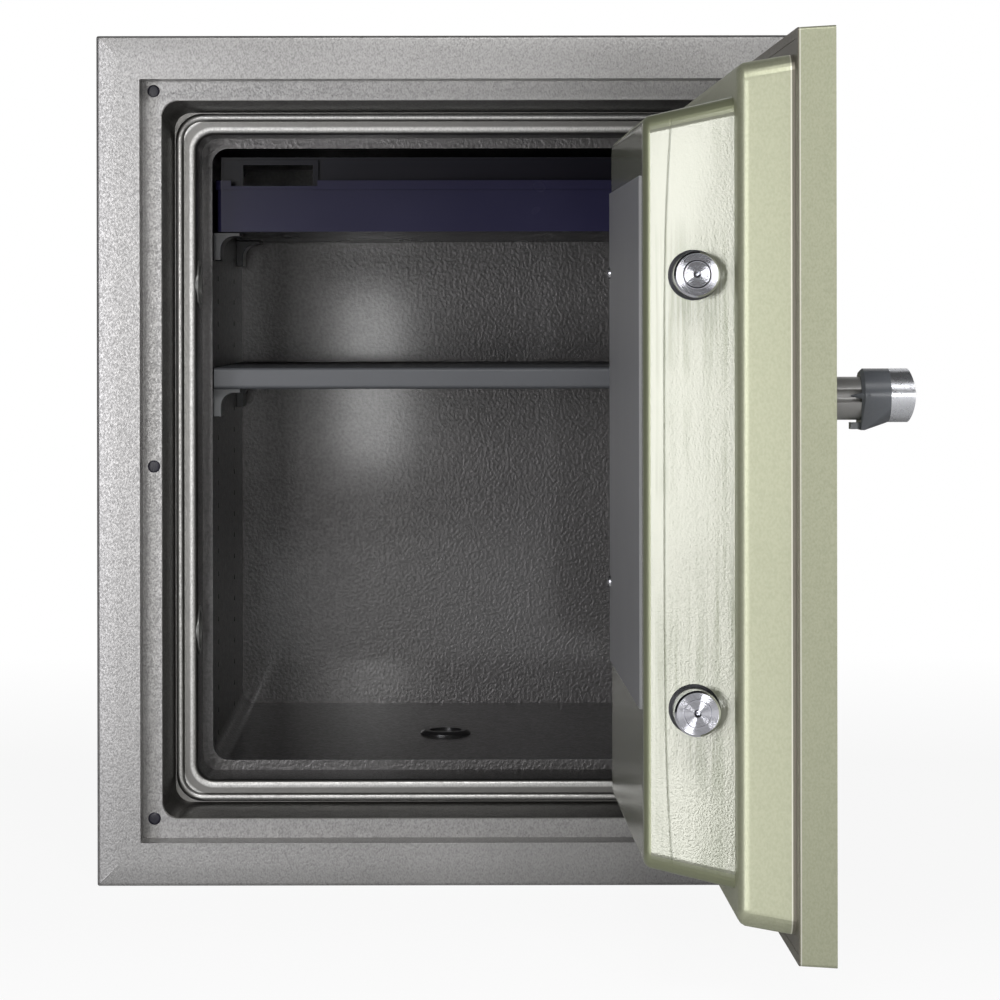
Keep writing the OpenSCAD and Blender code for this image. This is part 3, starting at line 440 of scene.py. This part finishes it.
# Compartment liner
# The compartment is a welded steel box with one dark, glossy hammertone enamel. It is painted
# near-black as painted shade on walls that don't face forward, and less so on the floor. Rows of
# small holes in its side walls take the brackets of shelf and tray at any height.
LINER_GRAIN = 380.0
LINER_DARK, LINER_LIGHT = (0.072, 0.069, 0.067), (0.148, 0.142, 0.142)
LINER_WALL_SHADE = (0.024, 0.023, 0.022)
LINER_RELIEF = 0.16 * MM
liner_enamel = Finish("liner_enamel", roughness=0.4, metallic=0.6, coat_weight=1.0, coat_roughness=0.1)
liner_dimples = liner_enamel.ramp(
    liner_enamel.noise(LINER_GRAIN, 2.0, 0.5) * 0.75 + liner_enamel.noise(LINER_GRAIN * 0.4) * 0.25,
    (0.36, 0.0), (0.62, 1.0))
liner_tide = liner_enamel.noise(7.0, 2.0, 0.5)
liner_tones = liner_enamel.mix(liner_dimples * 0.4 + liner_tide * 0.6, LINER_DARK, LINER_LIGHT)
liner_enamel.roughness(0.4 - liner_dimples * 0.1)
liner_enamel.bump(liner_dimples * LINER_RELIEF)
liner_front_unshaded = facing(liner_enamel, skin("inner_liner", "compartment_liner", liner_enamel), upward=0.45)
# Painted shade: side walls turn to the dark wall colour, and the floor does so in part.
liner_enamel.colour(liner_enamel.mix(liner_front_unshaded, LINER_WALL_SHADE, liner_tones))
liner_enamel.set(liner_enamel.shader, "Coat Weight", liner_front_unshaded * 0.75 + 0.25)

HOLE_PITCH = 17.5 * MM
HOLE_ROWS = 22
HOLE_RADIUS = 2.0 * MM
HOLE_SIDES = 16
HOLE_PROUD = 0.25 * MM
HOLE_COLUMNS = (173 * MM, 359 * MM)
FIRST_HOLE = 88 * MM
SHELF_PLAY = 1 * MM
liner_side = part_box("shelf")[1].x + SHELF_PLAY


def node_tree(name, inputs):
    """An empty Geometry Nodes tree with named number inputs, and a short way to add its nodes."""
    tree = bpy.data.node_groups.new(name, "GeometryNodeTree")
    tree.interface.new_socket("Geometry", in_out="INPUT", socket_type="NodeSocketGeometry")
    tree.interface.new_socket("Geometry", in_out="OUTPUT", socket_type="NodeSocketGeometry")
    for label, kind in inputs.items():
        tree.interface.new_socket(label, in_out="INPUT", socket_type="NodeSocket" + kind)

    def add(kind, settings=None, sockets=None):
        node = tree.nodes.new(kind)
        for key, value in (settings or {}).items():
            setattr(node, key, value)
        for key, value in (sockets or {}).items():
            if isinstance(value, bpy.types.NodeSocket):
                tree.links.new(value, node.inputs[key])
            else:
                node.inputs[key].default_value = value
        return node

    return tree, add, add("NodeGroupInput").outputs


def end_tree(add, geometry, material):
    """Makes the instances real, gives them their material and ends the tree."""
    real = add("GeometryNodeRealizeInstances", {}, {"Geometry": geometry})
    painted = add("GeometryNodeSetMaterial", {}, {"Geometry": real.outputs[0], "Material": material})
    add("NodeGroupOutput", {}, {0: painted.outputs[0]})


def grown(name, tree, points, values):
    """Runs a tree on loose points and returns its result as one plain mesh piece."""
    seeds = bpy.data.meshes.new(name + "_seeds")
    seeds.from_pydata(points, [], [])
    source = bpy.data.objects.new(name + "_seeds", seeds)
    scene.collection.objects.link(source)
    modifier = source.modifiers.new("grow", "NODES")
    modifier.node_group = tree
    for item in tree.interface.items_tree:
        if item.in_out == "INPUT" and item.name in values:
            modifier[item.identifier] = values[item.name]
    bpy.context.view_layer.update()
    evaluated = source.evaluated_get(bpy.context.evaluated_depsgraph_get())
    mesh = bpy.data.meshes.new_from_object(evaluated)
    mesh.name = name
    bpy.data.objects.remove(source)
    bpy.data.meshes.remove(seeds)
    smooth_form(mesh)
    piece = bpy.data.objects.new(name, mesh)
    scene.collection.objects.link(piece)
    return piece


# The holes are not cut: dark discs stand proud of the walls as painted shade for their insides.
painted_hole_shade = Finish("painted_hole_shade", roughness=0.6)
painted_hole_shade.colour(painted_hole_shade.mix(painted_hole_shade.noise(400), (0.012, 0.012, 0.012), (0.03, 0.03, 0.028)))
holes_tree, add, given = node_tree("bracket_hole_rows", {
    "Rows": "Int", "Pitch": "Float", "Radius": "Float", "Depth": "Float"})
step = add("ShaderNodeCombineXYZ", {}, {2: given["Pitch"]})
column = add("GeometryNodeMeshLine", {}, {"Count": given["Rows"], "Offset": step.outputs[0]})
columns = add("GeometryNodeInstanceOnPoints", {}, {
    "Points": given["Geometry"], "Instance": column.outputs[0]})
hole_spots = add("GeometryNodeRealizeInstances", {}, {"Geometry": columns.outputs[0]})
disc = add("GeometryNodeMeshCylinder", {}, {
    "Vertices": HOLE_SIDES, "Radius": given["Radius"], "Depth": given["Depth"]})
holes = add("GeometryNodeInstanceOnPoints", {}, {
    "Points": hole_spots.outputs[0], "Instance": disc.outputs["Mesh"],
    "Rotation": (0, math.pi / 2, 0)})
end_tree(add, holes.outputs[0], painted_hole_shade.material)
feet = [(side * liner_side, casing_low.y + depth, FIRST_HOLE)
        for side in (-1, 1) for depth in HOLE_COLUMNS]
bracket_holes = grown("bracket_holes", holes_tree, feet, {
    "Rows": HOLE_ROWS, "Pitch": HOLE_PITCH, "Radius": HOLE_RADIUS, "Depth": 2 * HOLE_PROUD})
seat(bracket_holes, "inner_liner")

# Anchor
# A zinc-plated steel tube leads the floor bolt through the filling, and a black moulded cap with
# a finger recess closes it on the compartment's floor.
zinc = Finish("zinc", metallic=1.0, roughness=0.35)
zinc_cloud = zinc.noise(60, 3.0)
zinc.colour(zinc.mix(zinc_cloud, (0.52, 0.53, 0.55), (0.68, 0.68, 0.67)))
zinc.roughness(0.28 + zinc_cloud * 0.2)
zinc.bump(zinc.noise(1400, 1.0) * (0.01 * MM))
zinc.on(nodes["anchor_sleeve"])

black_moulding = Finish("black_moulding", roughness=0.3, coat_weight=0.3, coat_roughness=0.1)
dust = black_moulding.noise(35, 3.0)
black_moulding.colour(black_moulding.mix(dust, (0.010, 0.010, 0.012), (0.03, 0.029, 0.028)))
black_moulding.roughness(0.22 + dust * 0.2)
black_moulding.bump(black_moulding.noise(1100, 1.0) * (0.015 * MM))
skin("anchor_cap", "anchor_hole_cap", black_moulding, edge=0.4 * MM)

# Rim plugs
# Six dark blue-black plugs press into the rim and hide the screws that hold the moulding.
plug_moulding = Finish("plug_moulding", roughness=0.34)
plug_moulding.colour(plug_moulding.mix(plug_moulding.noise(300), (0.012, 0.011, 0.022),
                                       (0.024, 0.022, 0.04)))
skin("rim_plugs", "moulding_plugs", plug_moulding)

# Bolt sockets
# Two pressed cups in the throat take the live bolts. They are enamelled like the liner, and the
# bolts have rubbed them brighter in places.
socket_enamel = Finish("socket_enamel", roughness=0.3, metallic=0.25, coat_weight=0.4)
rubbed = socket_enamel.noise(130, 3.0)
socket_enamel.colour(socket_enamel.mix(rubbed, (0.10, 0.10, 0.095), (0.26, 0.26, 0.25)))
socket_enamel.roughness(0.4 - rubbed * 0.15)
skin("bolt_sockets", "bolt_cups", socket_enamel, edge=0.3 * MM)

# Shelf and its brackets
# The loose shelf is a folded steel tray with a rounded front, sprayed satin grey. It rests on
# four moulded grey brackets that hook into the holes of the liner.
SHELF_LIGHT, SHELF_DARK = (0.14, 0.145, 0.155), (0.11, 0.115, 0.125)
SATIN_GRAIN = 700.0


def satin(name, light, dark, rough, peel=0.012):
    """A plain satin lacquer with faint orange peel and slow changes of tone."""
    made = Finish(name, roughness=rough)
    cloud = made.noise(14, 3.0)
    fine = made.noise(SATIN_GRAIN, 2.0)
    made.colour(made.mix(cloud * 0.7 + fine * 0.3, dark, light))
    made.roughness(rough - 0.06 + cloud * 0.12)
    made.bump(fine * (peel * MM))
    return made


shelf_lacquer = satin("shelf_lacquer", SHELF_LIGHT, SHELF_DARK, 0.42)
skin("shelf", "shelf_plate", shelf_lacquer)
bracket_moulding = satin("bracket_moulding", (0.22, 0.225, 0.23), (0.17, 0.175, 0.18), 0.45)
skin("shelf_brackets", "shelf_supports", bracket_moulding, edge=0.4 * MM)

# Tray and its brackets
# The tray is one glossy navy moulding with a rolled rim, a raised cross wall and a finger pocket.
# All of it behind the front wall is painted darker as painted shade. It slides forward on four
# brackets like the shelf's, painted near-black as painted shade.
FRONT_WALL = 6 * MM
FRONT_DARK, FRONT_LIGHT = (0.011, 0.010, 0.032), (0.020, 0.018, 0.055)
INSIDE_SHADE_DARK, INSIDE_SHADE_LIGHT = (0.004, 0.004, 0.008), (0.006, 0.005, 0.014)
tray_moulding = Finish("tray_moulding", roughness=0.2, IOR=1.28)
tray_cloud = tray_moulding.noise(9, 3.0)
# Painted shade: all of the moulding behind its front wall is coloured darker.
unshaded_front_face = tray_moulding.axes()[1].math("LESS_THAN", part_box("tray")[0].y + FRONT_WALL)
tray_inside_shade = tray_moulding.mix(tray_cloud, INSIDE_SHADE_DARK, INSIDE_SHADE_LIGHT)
tray_outside = tray_moulding.mix(tray_cloud, FRONT_DARK, FRONT_LIGHT)
tray_moulding.colour(tray_moulding.mix(unshaded_front_face, tray_inside_shade, tray_outside))
tray_moulding.roughness(0.2 + tray_cloud * 0.12)
tray_moulding.bump(tray_moulding.noise(900, 1.0) * (0.012 * MM))
skin("tray", "pull_out_tray", tray_moulding, edge=0.5 * MM)
# The brackets are painted near-black as painted shade, because they stand in the tray's shadow.
runner_painted_shade = satin("runner_painted_shade", (0.02, 0.02, 0.024), (0.012, 0.012, 0.015), 0.3)
skin("tray_brackets", "tray_supports", runner_painted_shade, edge=0.4 * MM)

# Hinges
# Two welded hinges carry the door. Their leaves and knuckles are sprayed with the part they are
# welded to, and bright turned pins with low heads drop in from above.
skin("frame_hinges", "body_hinge_halves", panel_enamel, edge=0.4 * MM)
turned_steel = Finish("turned_steel", metallic=1.0, roughness=0.25)
tool_marks = turned_steel.noise(260, 2.0, spot=turned_steel.place(scale=(1, 1, 6)))
turned_steel.colour(turned_steel.mix(tool_marks, (0.50, 0.50, 0.51), (0.66, 0.66, 0.68)))
turned_steel.roughness(0.2 + tool_marks * 0.16)
skin("hinge_pins", "door_hinge_pins", turned_steel, edge=0.3 * MM)

# Door plate
# The door's outer shell is a folded steel plate with a hem behind it, sprayed with a khaki
# hammertone enamel that is finer and smoother than the body's. A thin band at its back edge is
# painted brown as painted shade in the seam, with a pale line beside it as a painted highlight.
swing = next(joint for joint in frame["joints"] if joint["name"] == "door_swing")
door_turn = math.radians(-swing["range_deg"][0])
hinge_point = Vector(swing["pos_m"])
door_place = (Matrix.Translation(hinge_point) @ Matrix.Rotation(door_turn, 4, "Z")
              @ Matrix.Translation(-hinge_point))


def closed_box(node):
    """The lowest and highest corners of a CAD node of the door, as if the door were closed."""
    back = door_place.inverted()
    spots = [back @ v.co for v in nodes[node].data.vertices]
    return (Vector(map(min, zip(*spots))), Vector(map(max, zip(*spots))))


KHAKI_LIGHT, KHAKI_DARK = (0.475, 0.485, 0.345), (0.375, 0.385, 0.265)
SEAM_SHADE_BROWN = (0.17, 0.155, 0.12)
EDGE_HIGHLIGHT_PALE = (0.80, 0.78, 0.70)
SEAM_REACH = 0.7 * MM
SEAM_RISE = 1.7 * MM
HIGHLIGHT_WIDTH = 0.5 * MM
skin_low, skin_high = closed_box("door_skin")
plate_back = skin_high.y - hinge_point.y


def door_axes(finish):
    """Across, depth and height from the hinge line, in the door's own directions."""
    return finish.axes(hinge_point, (0, 0, -door_turn))


def line_mask(distance, half_width):
    """1 where a distance is 0, falling to 0 at the half width."""
    return 1 - (abs(distance) / half_width).math("MINIMUM", 1.0)


plate_enamel = hammertone("plate_enamel", KHAKI_LIGHT, KHAKI_DARK, 0.42, 0.012, grain=900.0,
                          specks=0.1, coat=0.15, metal=0.5)
plate_depth = door_axes(plate_enamel)[1]
# Painted shade in the seam at the plate's back edge, with a painted highlight line beside it.
in_seam_shade = plate_depth.math("GREATER_THAN", plate_back - SEAM_REACH)
rim_highlight = line_mask(plate_depth - (plate_back - SEAM_REACH - HIGHLIGHT_WIDTH), HIGHLIGHT_WIDTH)
plate_enamel.colour(plate_enamel.mix(in_seam_shade, plate_enamel.mix(
    rim_highlight, plate_enamel.tones, EDGE_HIGHLIGHT_PALE), SEAM_SHADE_BROWN))
skin("door_skin", "door_plate", plate_enamel, edge=0.7 * MM)
skin("door_hinges", "door_hinge_halves", plate_enamel, edge=0.4 * MM)

# Door's inner pan
# The stepped plug that closes the throat is a deep moulding. Its second step is enamelled thick
# and glossy, with orange peel low down, and smears and a drip run down its free side. Its
# roundings are painted a darker olive as painted shade, and where it meets the plate it has the same
# painted seam shade and painted highlight line.
pan_low, pan_high = closed_box("door_inner_pan")
bolts_low, bolts_high = closed_box("live_bolts")
SHOULDER_DEPTH = 33 * MM
SIDE_INSET = 48 * MM
DRIP_DEPTH = 73.5 * MM
DRIP_BOW = 8.5 * MM
DRIP_HALF = 0.8 * MM
DRIP_RISE = 0.05 * MM
PEEL_HEIGHT = 0.13 * MM
PEEL_GRAIN = 850
PEEL_FROM, PEEL_FADE, PEEL_LEAST = -0.28, 0.23, 0.25
PAN_METAL, PAN_ROUGH = 0.6, 0.42
GLOSS_METAL, GLOSS_ROUGH = 0.15, 0.15
SAG_FROM = 0.26
SAG_CURVE = 0.3
THICK_LIGHT, THICK_DARK = (0.29, 0.295, 0.23), (0.17, 0.185, 0.115)
EDGE_SHADE_OLIVE = (0.27, 0.285, 0.18)
pan_enamel = hammertone("pan_enamel", KHAKI_LIGHT, KHAKI_DARK, 0.4, 0.012, grain=700.0,
                        specks=0.08, coat=0.0, metal=PAN_METAL)
pan_enamel.set(pan_enamel.shader, "IOR", 1.72)
pan_across, pan_depth, pan_height = door_axes(pan_enamel)
second_step = pan_depth.math("GREATER_THAN", plate_back + SHOULDER_DEPTH)
smear_spot = pan_enamel.place(scale=(1, 1, 0.03))
smears = pan_enamel.ramp(pan_enamel.noise(190, 3.0, 0.6, spot=smear_spot, distortion=0.4),
                         (0.45, 0.0), (0.62, 1.0))
patches = pan_enamel.ramp(pan_enamel.noise(9, 3.0), (0.4, 0.0), (0.65, 1.0))
slanted_side = pan_across.math("LESS_THAN", skin_low.x + SIDE_INSET - hinge_point.x)
streaks = smears * patches * second_step * slanted_side
bow = abs(pan_height) / ((pan_high.z - pan_low.z) / 2)
drip = line_mask(pan_depth - plate_back - DRIP_DEPTH + bow.math("POWER", 4.0) * DRIP_BOW, DRIP_HALF)
# Painted shade in the seam at the plate, with a painted highlight line beside it.
seam_shade_band = pan_depth.math("LESS_THAN", plate_back + SEAM_RISE)
edge_highlight = line_mask(pan_depth - (plate_back + SEAM_RISE + HIGHLIGHT_WIDTH), HIGHLIGHT_WIDTH)
# Painted shade: the step's roundings get a darker olive than its flat faces.
flat_share = pan_enamel.node("ShaderNodeAttribute", {"attribute_name": "flatness"}).outputs["Fac"]
flat = pan_enamel.ramp(Maths(pan_enamel, flat_share), (0.90, 0.0), (0.97, 1.0))
thick = pan_enamel.mix(streaks + drip * 0.7, THICK_LIGHT, THICK_DARK)
thick = pan_enamel.mix(flat, EDGE_SHADE_OLIVE, thick)
tones = pan_enamel.mix(second_step, pan_enamel.tones, thick)
pan_enamel.colour(pan_enamel.mix(seam_shade_band, pan_enamel.mix(edge_highlight, tones, EDGE_HIGHLIGHT_PALE), SEAM_SHADE_BROWN))
glossy = second_step * flat
pan_enamel.set(pan_enamel.shader, "Metallic", PAN_METAL - glossy * (PAN_METAL - GLOSS_METAL))
pan_enamel.roughness(PAN_ROUGH - glossy * (PAN_ROUGH - GLOSS_ROUGH - streaks * 0.05 - drip * 0.1))
peel_fade = pan_enamel.ramp(pan_height - PEEL_FROM, (0.0, 1.0), (PEEL_FADE, PEEL_LEAST))
peel = pan_enamel.noise(PEEL_GRAIN, 2.0) * peel_fade
sag = (SAG_FROM - hinge_point.z - pan_height).math("MAXIMUM", 0.0)
pan_enamel.bump(pan_enamel.height + peel * second_step * PEEL_HEIGHT + sag * sag * SAG_CURVE
                - drip * DRIP_RISE)
door_plug = skin("door_inner_pan", "door_plug", pan_enamel)
into_door = door_place.to_3x3().inverted()
flatness = door_plug.data.attributes.new("flatness", "FLOAT", "FACE")
flatness.data.foreach_set("value", [max(map(abs, into_door @ face.normal))
                                    for face in door_plug.data.polygons])

# Inner cover
# A flat grey sheet hooks behind the pan at the free edge and is held by two round-headed screws
# at the hinge side. It covers the bolt work and the lock.
cover_lacquer = satin("cover_lacquer", (0.31, 0.31, 0.315), (0.26, 0.26, 0.265), 0.4, peel=0.02)
skin("inner_cover", "bolt_work_cover", cover_lacquer)
skin("cover_screws", "cover_screw_heads", turned_steel, crease=25)

# Live bolts
# Two turned and chromed steel bolts lock the door. Each end is faced on the lathe, which leaves
# fine rings, a shallow groove and a centre-drilled point; a steel carriage joins them inside.
BOLT_TURNS = 96
FACE_GROOVE_RADIUS = 7.9 * MM
FACE_GROOVE_DEPTH = 0.18 * MM
FACE_CHAMFER = 1.2 * MM
RING_STEP = 0.17 * MM
RING_DEPTH = 0.065 * MM
RING_SHAPE = (0, 0.5, 1, 0.5)
DRILL_RADIUS = 2.2 * MM
BOLT_CREASE = 38
UV_SPAN = 20


def lathed(profile, origin, turns):
    """Spins (radius, distance) pairs about a line along +X from an origin; UV holds the radius."""
    form = bmesh.new()
    layer = form.loops.layers.uv.new("turning")
    rings = []
    for radius, run in profile:
        if radius == 0:
            rings.append([form.verts.new(origin + Vector((run, 0, 0)))])
            continue
        rings.append([form.verts.new(origin + Vector((run, radius * math.cos(a), radius * math.sin(a))))
                      for a in [2 * math.pi * i / turns for i in range(turns)]])
    radii = {vert: profile[i][0] for i, ring in enumerate(rings) for vert in ring}
    for first, second in zip(rings, rings[1:]):
        for i in range(turns):
            quad = [first[i % len(first)], first[(i + 1) % len(first)],
                    second[(i + 1) % len(second)], second[i % len(second)]]
            form.faces.new(list(dict.fromkeys(quad)))
    for face in form.faces:
        for loop in face.loops:
            loop[layer].uv = (radii[loop.vert] / MM / UV_SPAN, 0.5)
    bmesh.ops.recalc_face_normals(form, faces=form.faces)
    return form


def as_piece(name, form, move):
    """Turns a form into an object whose place is in its mesh."""
    mesh = bpy.data.meshes.new(name)
    form.transform(move)
    form.to_mesh(mesh)
    form.free()
    piece = bpy.data.objects.new(name, mesh)
    scene.collection.objects.link(piece)
    return piece


bolt_radius = (bolts_high.y - bolts_low.y) / 2
bolt_length = bolts_high.x - bolts_low.x
bolt_depth = (bolts_high.y + bolts_low.y) / 2
bolt_heights = (bolts_low.z + bolt_radius, bolts_high.z - bolt_radius)
ring_count = int((bolt_radius - FACE_CHAMFER - DRILL_RADIUS) / RING_STEP)
face_profile = [(0, DRILL_RADIUS), (DRILL_RADIUS * 0.45, DRILL_RADIUS * 0.5)]
for ring in range(ring_count):
    ring_radius = DRILL_RADIUS + ring * RING_STEP
    in_groove = abs(ring_radius - FACE_GROOVE_RADIUS) < 1.5 * RING_STEP
    face_profile.append((ring_radius, FACE_GROOVE_DEPTH if in_groove else
                         RING_DEPTH * RING_SHAPE[ring % len(RING_SHAPE)]))
face_profile += [(bolt_radius - FACE_CHAMFER, 0), (bolt_radius, FACE_CHAMFER),
                 (bolt_radius, bolt_length), (0, bolt_length)]
both_bolts = bmesh.new()
for height in bolt_heights:
    one = lathed(face_profile, Vector((bolts_low.x, bolt_depth, height)), BOLT_TURNS)
    spare = bpy.data.meshes.new("one_bolt")
    one.to_mesh(spare)
    one.free()
    both_bolts.from_mesh(spare)
    bpy.data.meshes.remove(spare)
bolt_pair = as_piece("bolt_pair", both_bolts, door_place)
smooth_form(bolt_pair.data, crease=BOLT_CREASE)

bolt_chrome = Finish("bolt_chrome", metallic=1.0, roughness=0.2)
turning = bolt_chrome.node("ShaderNodeUVMap", {"uv_map": "turning"}).outputs[0]
ring_noise = bolt_chrome.noise(22, 2.0, 0.6, spot=turning)
bolt_chrome.colour(bolt_chrome.mix(ring_noise, (0.48, 0.48, 0.53), (0.76, 0.76, 0.80)))
bolt_chrome.roughness(0.06 + ring_noise * 0.08)
bolt_chrome.on(bolt_pair)
seat(bolt_pair, "live_bolts", "live_bolts")

oiled_steel = satin("oiled_steel", (0.07, 0.07, 0.075), (0.03, 0.03, 0.033), 0.32)
oiled_steel.on(nodes["spindle_crank"])
skin("bolt_guides", "bolt_guide_tubes", oiled_steel)
zinc.on(nodes["bolt_carriage"], nodes["lock_case"])

# Handle
# A silver-enamelled neck with a groove on each side stands on the door. The lever on it is a dark
# grey moulding whose front is a brushed satin-silver cap, domed across its height.
neck_enamel = satin("neck_enamel", (0.50, 0.49, 0.48), (0.36, 0.355, 0.35), 0.36, peel=0.02)
neck_enamel.set(neck_enamel.shader, "Metallic", 0.4)
skin("handle_neck", "lever_neck", neck_enamel, edge=0.5 * MM)
turned_steel.on(nodes["handle_spindle"])
lever_moulding = satin("lever_moulding", (0.19, 0.20, 0.22), (0.12, 0.13, 0.145), 0.26)
skin("lever_body", "lever_moulding", lever_moulding, edge=0.5 * MM)
CAP_DOME = 8.0
cap_low, cap_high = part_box("lever_cap")


def brushed_silver(name):
    """Satin silver with fine strokes along Y; keeps the strokes' height for more bumps."""
    made = Finish(name, metallic=0.9, roughness=0.27)
    brushed = made.noise(420, 2.0, spot=made.place(scale=(1, 0.04, 1)))
    made.colour(made.mix(brushed, (0.68, 0.69, 0.73), (0.80, 0.81, 0.84)))
    made.roughness(0.23 + brushed * 0.1)
    made.height = brushed * (0.006 * MM)
    made.bump(made.height)
    return made


cap_silver = brushed_silver("cap_silver")
from_middle = cap_silver.axes((0, 0, (cap_low.z + cap_high.z) / 2))[2]
cap_silver.bump(cap_silver.height - from_middle * from_middle * (CAP_DOME / 2))
skin("lever_cap", "lever_silver_cap", cap_silver, edge=0.5 * MM)

# Combination dial
# The dial is a black moulding with a fluted grip. A hundred white marks and plain numbers at the
# tens are printed on its skirt, and it turns inside a fixed silver ring with one index mark.
SKIRT_OUTER, SKIRT_INNER = 36 * MM, 23 * MM
SKIRT_LOW, SKIRT_HIGH = 5 * MM, 10 * MM
MARK_RADIUS = 35.2 * MM
MARK_WIDTH = 0.45 * MM
MARK_LENGTH = 1.8 * MM
NUMBER_RADIUS = 28.8 * MM
NUMBER_HEIGHT = 4.4 * MM
PRINT_PROUD = 0.06 * MM
MARK_COUNT = 100
FONT_SCALE = 1.4
skirt_slope = math.atan2(SKIRT_HIGH - SKIRT_LOW, SKIRT_OUTER - SKIRT_INNER)
dial_low, dial_high = closed_box("combination_dial")
ring_back = closed_box("dial_ring")[1].y
dial_centre = Vector(((dial_low.x + dial_high.x) / 2, ring_back, (dial_low.z + dial_high.z) / 2))
dial_face = door_place @ Matrix.Translation(dial_centre) @ Matrix.Rotation(math.pi / 2, 4, "X")
skin("combination_dial", "numbered_dial", black_moulding, edge=0.3 * MM)
skin("dial_ring", "dial_index_ring", brushed_silver("ring_silver"), edge=0.3 * MM)

print_white = Finish("print_white", roughness=0.5)
print_white.colour(print_white.mix(print_white.noise(500), (0.72, 0.72, 0.70), (0.82, 0.82, 0.80)))


def skirt_height(radius):
    """Height of the dial's sloping skirt above the door at a radius."""
    return SKIRT_LOW + (SKIRT_OUTER - radius) * math.tan(skirt_slope)


marks_tree, add, given = node_tree("dial_marks", {
    "Count": "Int", "Radius": "Float", "Width": "Float", "Length": "Float", "Slope": "Float"})
circle = add("GeometryNodeMeshCircle", {}, {"Vertices": given["Count"], "Radius": given["Radius"]})
size = add("ShaderNodeCombineXYZ", {}, {0: given["Length"], 1: given["Width"], 2: PRINT_PROUD})
stroke = add("GeometryNodeMeshCube", {}, {"Size": size.outputs[0]})
half = add("ShaderNodeMath", {"operation": "MULTIPLY"}, {0: given["Length"], 1: -0.5})
inward = add("ShaderNodeCombineXYZ", {}, {0: half.outputs[0]})
moved = add("GeometryNodeTransform", {}, {"Geometry": stroke.outputs["Mesh"],
                                          "Translation": inward.outputs[0]})
index = add("GeometryNodeInputIndex").outputs[0]
long_mark = add("FunctionNodeCompare", {"data_type": "INT", "operation": "EQUAL"}, {
    2: add("FunctionNodeIntegerMath", {"operation": "MODULO"}, {0: index, 1: 10}).outputs[0], 3: 0})
mid_mark = add("FunctionNodeCompare", {"data_type": "INT", "operation": "EQUAL"}, {
    2: add("FunctionNodeIntegerMath", {"operation": "MODULO"}, {0: index, 1: 5}).outputs[0], 3: 0})
stretch = add("ShaderNodeMath", {"operation": "MULTIPLY_ADD"}, {
    0: mid_mark.outputs[0], 1: 0.5, 2: 1.0})
stretch = add("ShaderNodeMath", {"operation": "MULTIPLY_ADD"}, {
    0: long_mark.outputs[0], 1: 0.5, 2: stretch.outputs[0]})
scale = add("ShaderNodeCombineXYZ", {}, {0: stretch.outputs[0], 1: 1.0, 2: 1.0})
turn = add("ShaderNodeMath", {"operation": "DIVIDE"}, {0: 2 * math.pi, 1: given["Count"]})
angle = add("ShaderNodeMath", {"operation": "MULTIPLY"}, {0: index, 1: turn.outputs[0]})
rotation = add("ShaderNodeCombineXYZ", {}, {1: given["Slope"], 2: angle.outputs[0]})
marks = add("GeometryNodeInstanceOnPoints", {}, {
    "Points": circle.outputs[0], "Instance": moved.outputs[0], "Rotation": rotation.outputs[0],
    "Scale": scale.outputs[0]})
end_tree(add, marks.outputs[0], print_white.material)
dial_marks = grown("dial_marks", marks_tree, [(0, 0, 0)], {
    "Count": MARK_COUNT, "Radius": MARK_RADIUS, "Width": MARK_WIDTH, "Length": MARK_LENGTH,
    "Slope": skirt_slope})
dial_marks.data.transform(dial_face @ Matrix.Translation((0, 0, skirt_height(MARK_RADIUS)))
                          @ Matrix.Rotation(math.pi / 2, 4, "Z"))
seat(dial_marks, "combination_dial")

numbers = bmesh.new()
for tens in range(0, MARK_COUNT, 10):
    curve = bpy.data.curves.new("number", "FONT")
    curve.body, curve.size = str(tens), NUMBER_HEIGHT * FONT_SCALE
    curve.align_x, curve.align_y = "CENTER", "CENTER"
    curve.extrude = PRINT_PROUD
    written = bpy.data.objects.new("number", curve)
    scene.collection.objects.link(written)
    digits = bpy.data.meshes.new_from_object(written)
    digits.transform(Matrix.Rotation(-2 * math.pi * tens / MARK_COUNT, 4, "Z")
                     @ Matrix.Translation((0, NUMBER_RADIUS, skirt_height(NUMBER_RADIUS)))
                     @ Matrix.Rotation(-skirt_slope, 4, "X"))
    numbers.from_mesh(digits)
    bpy.data.objects.remove(written)
    bpy.data.meshes.remove(digits)
dial_numbers = as_piece("dial_numbers", numbers, dial_face)
print_white.on(dial_numbers)
seat(dial_numbers, "combination_dial")

# Key lock
# Below the dial sits a chromed key lock. Its plug turns in a housing that is pressed through the
# door, and a cam on its inner end blocks the bolt work.
lock_chrome = Finish("lock_chrome", metallic=1.0, roughness=0.16)
wiped = lock_chrome.noise(45, 3.0)
lock_chrome.colour(lock_chrome.mix(wiped, (0.66, 0.66, 0.69), (0.80, 0.80, 0.82)))
lock_chrome.roughness(0.1 + wiped * 0.14)
skin("key_housing", "key_lock_housing", lock_chrome, edge=0.3 * MM)
skin("key_plug", "key_lock_plug", zinc, edge=0.2 * MM)
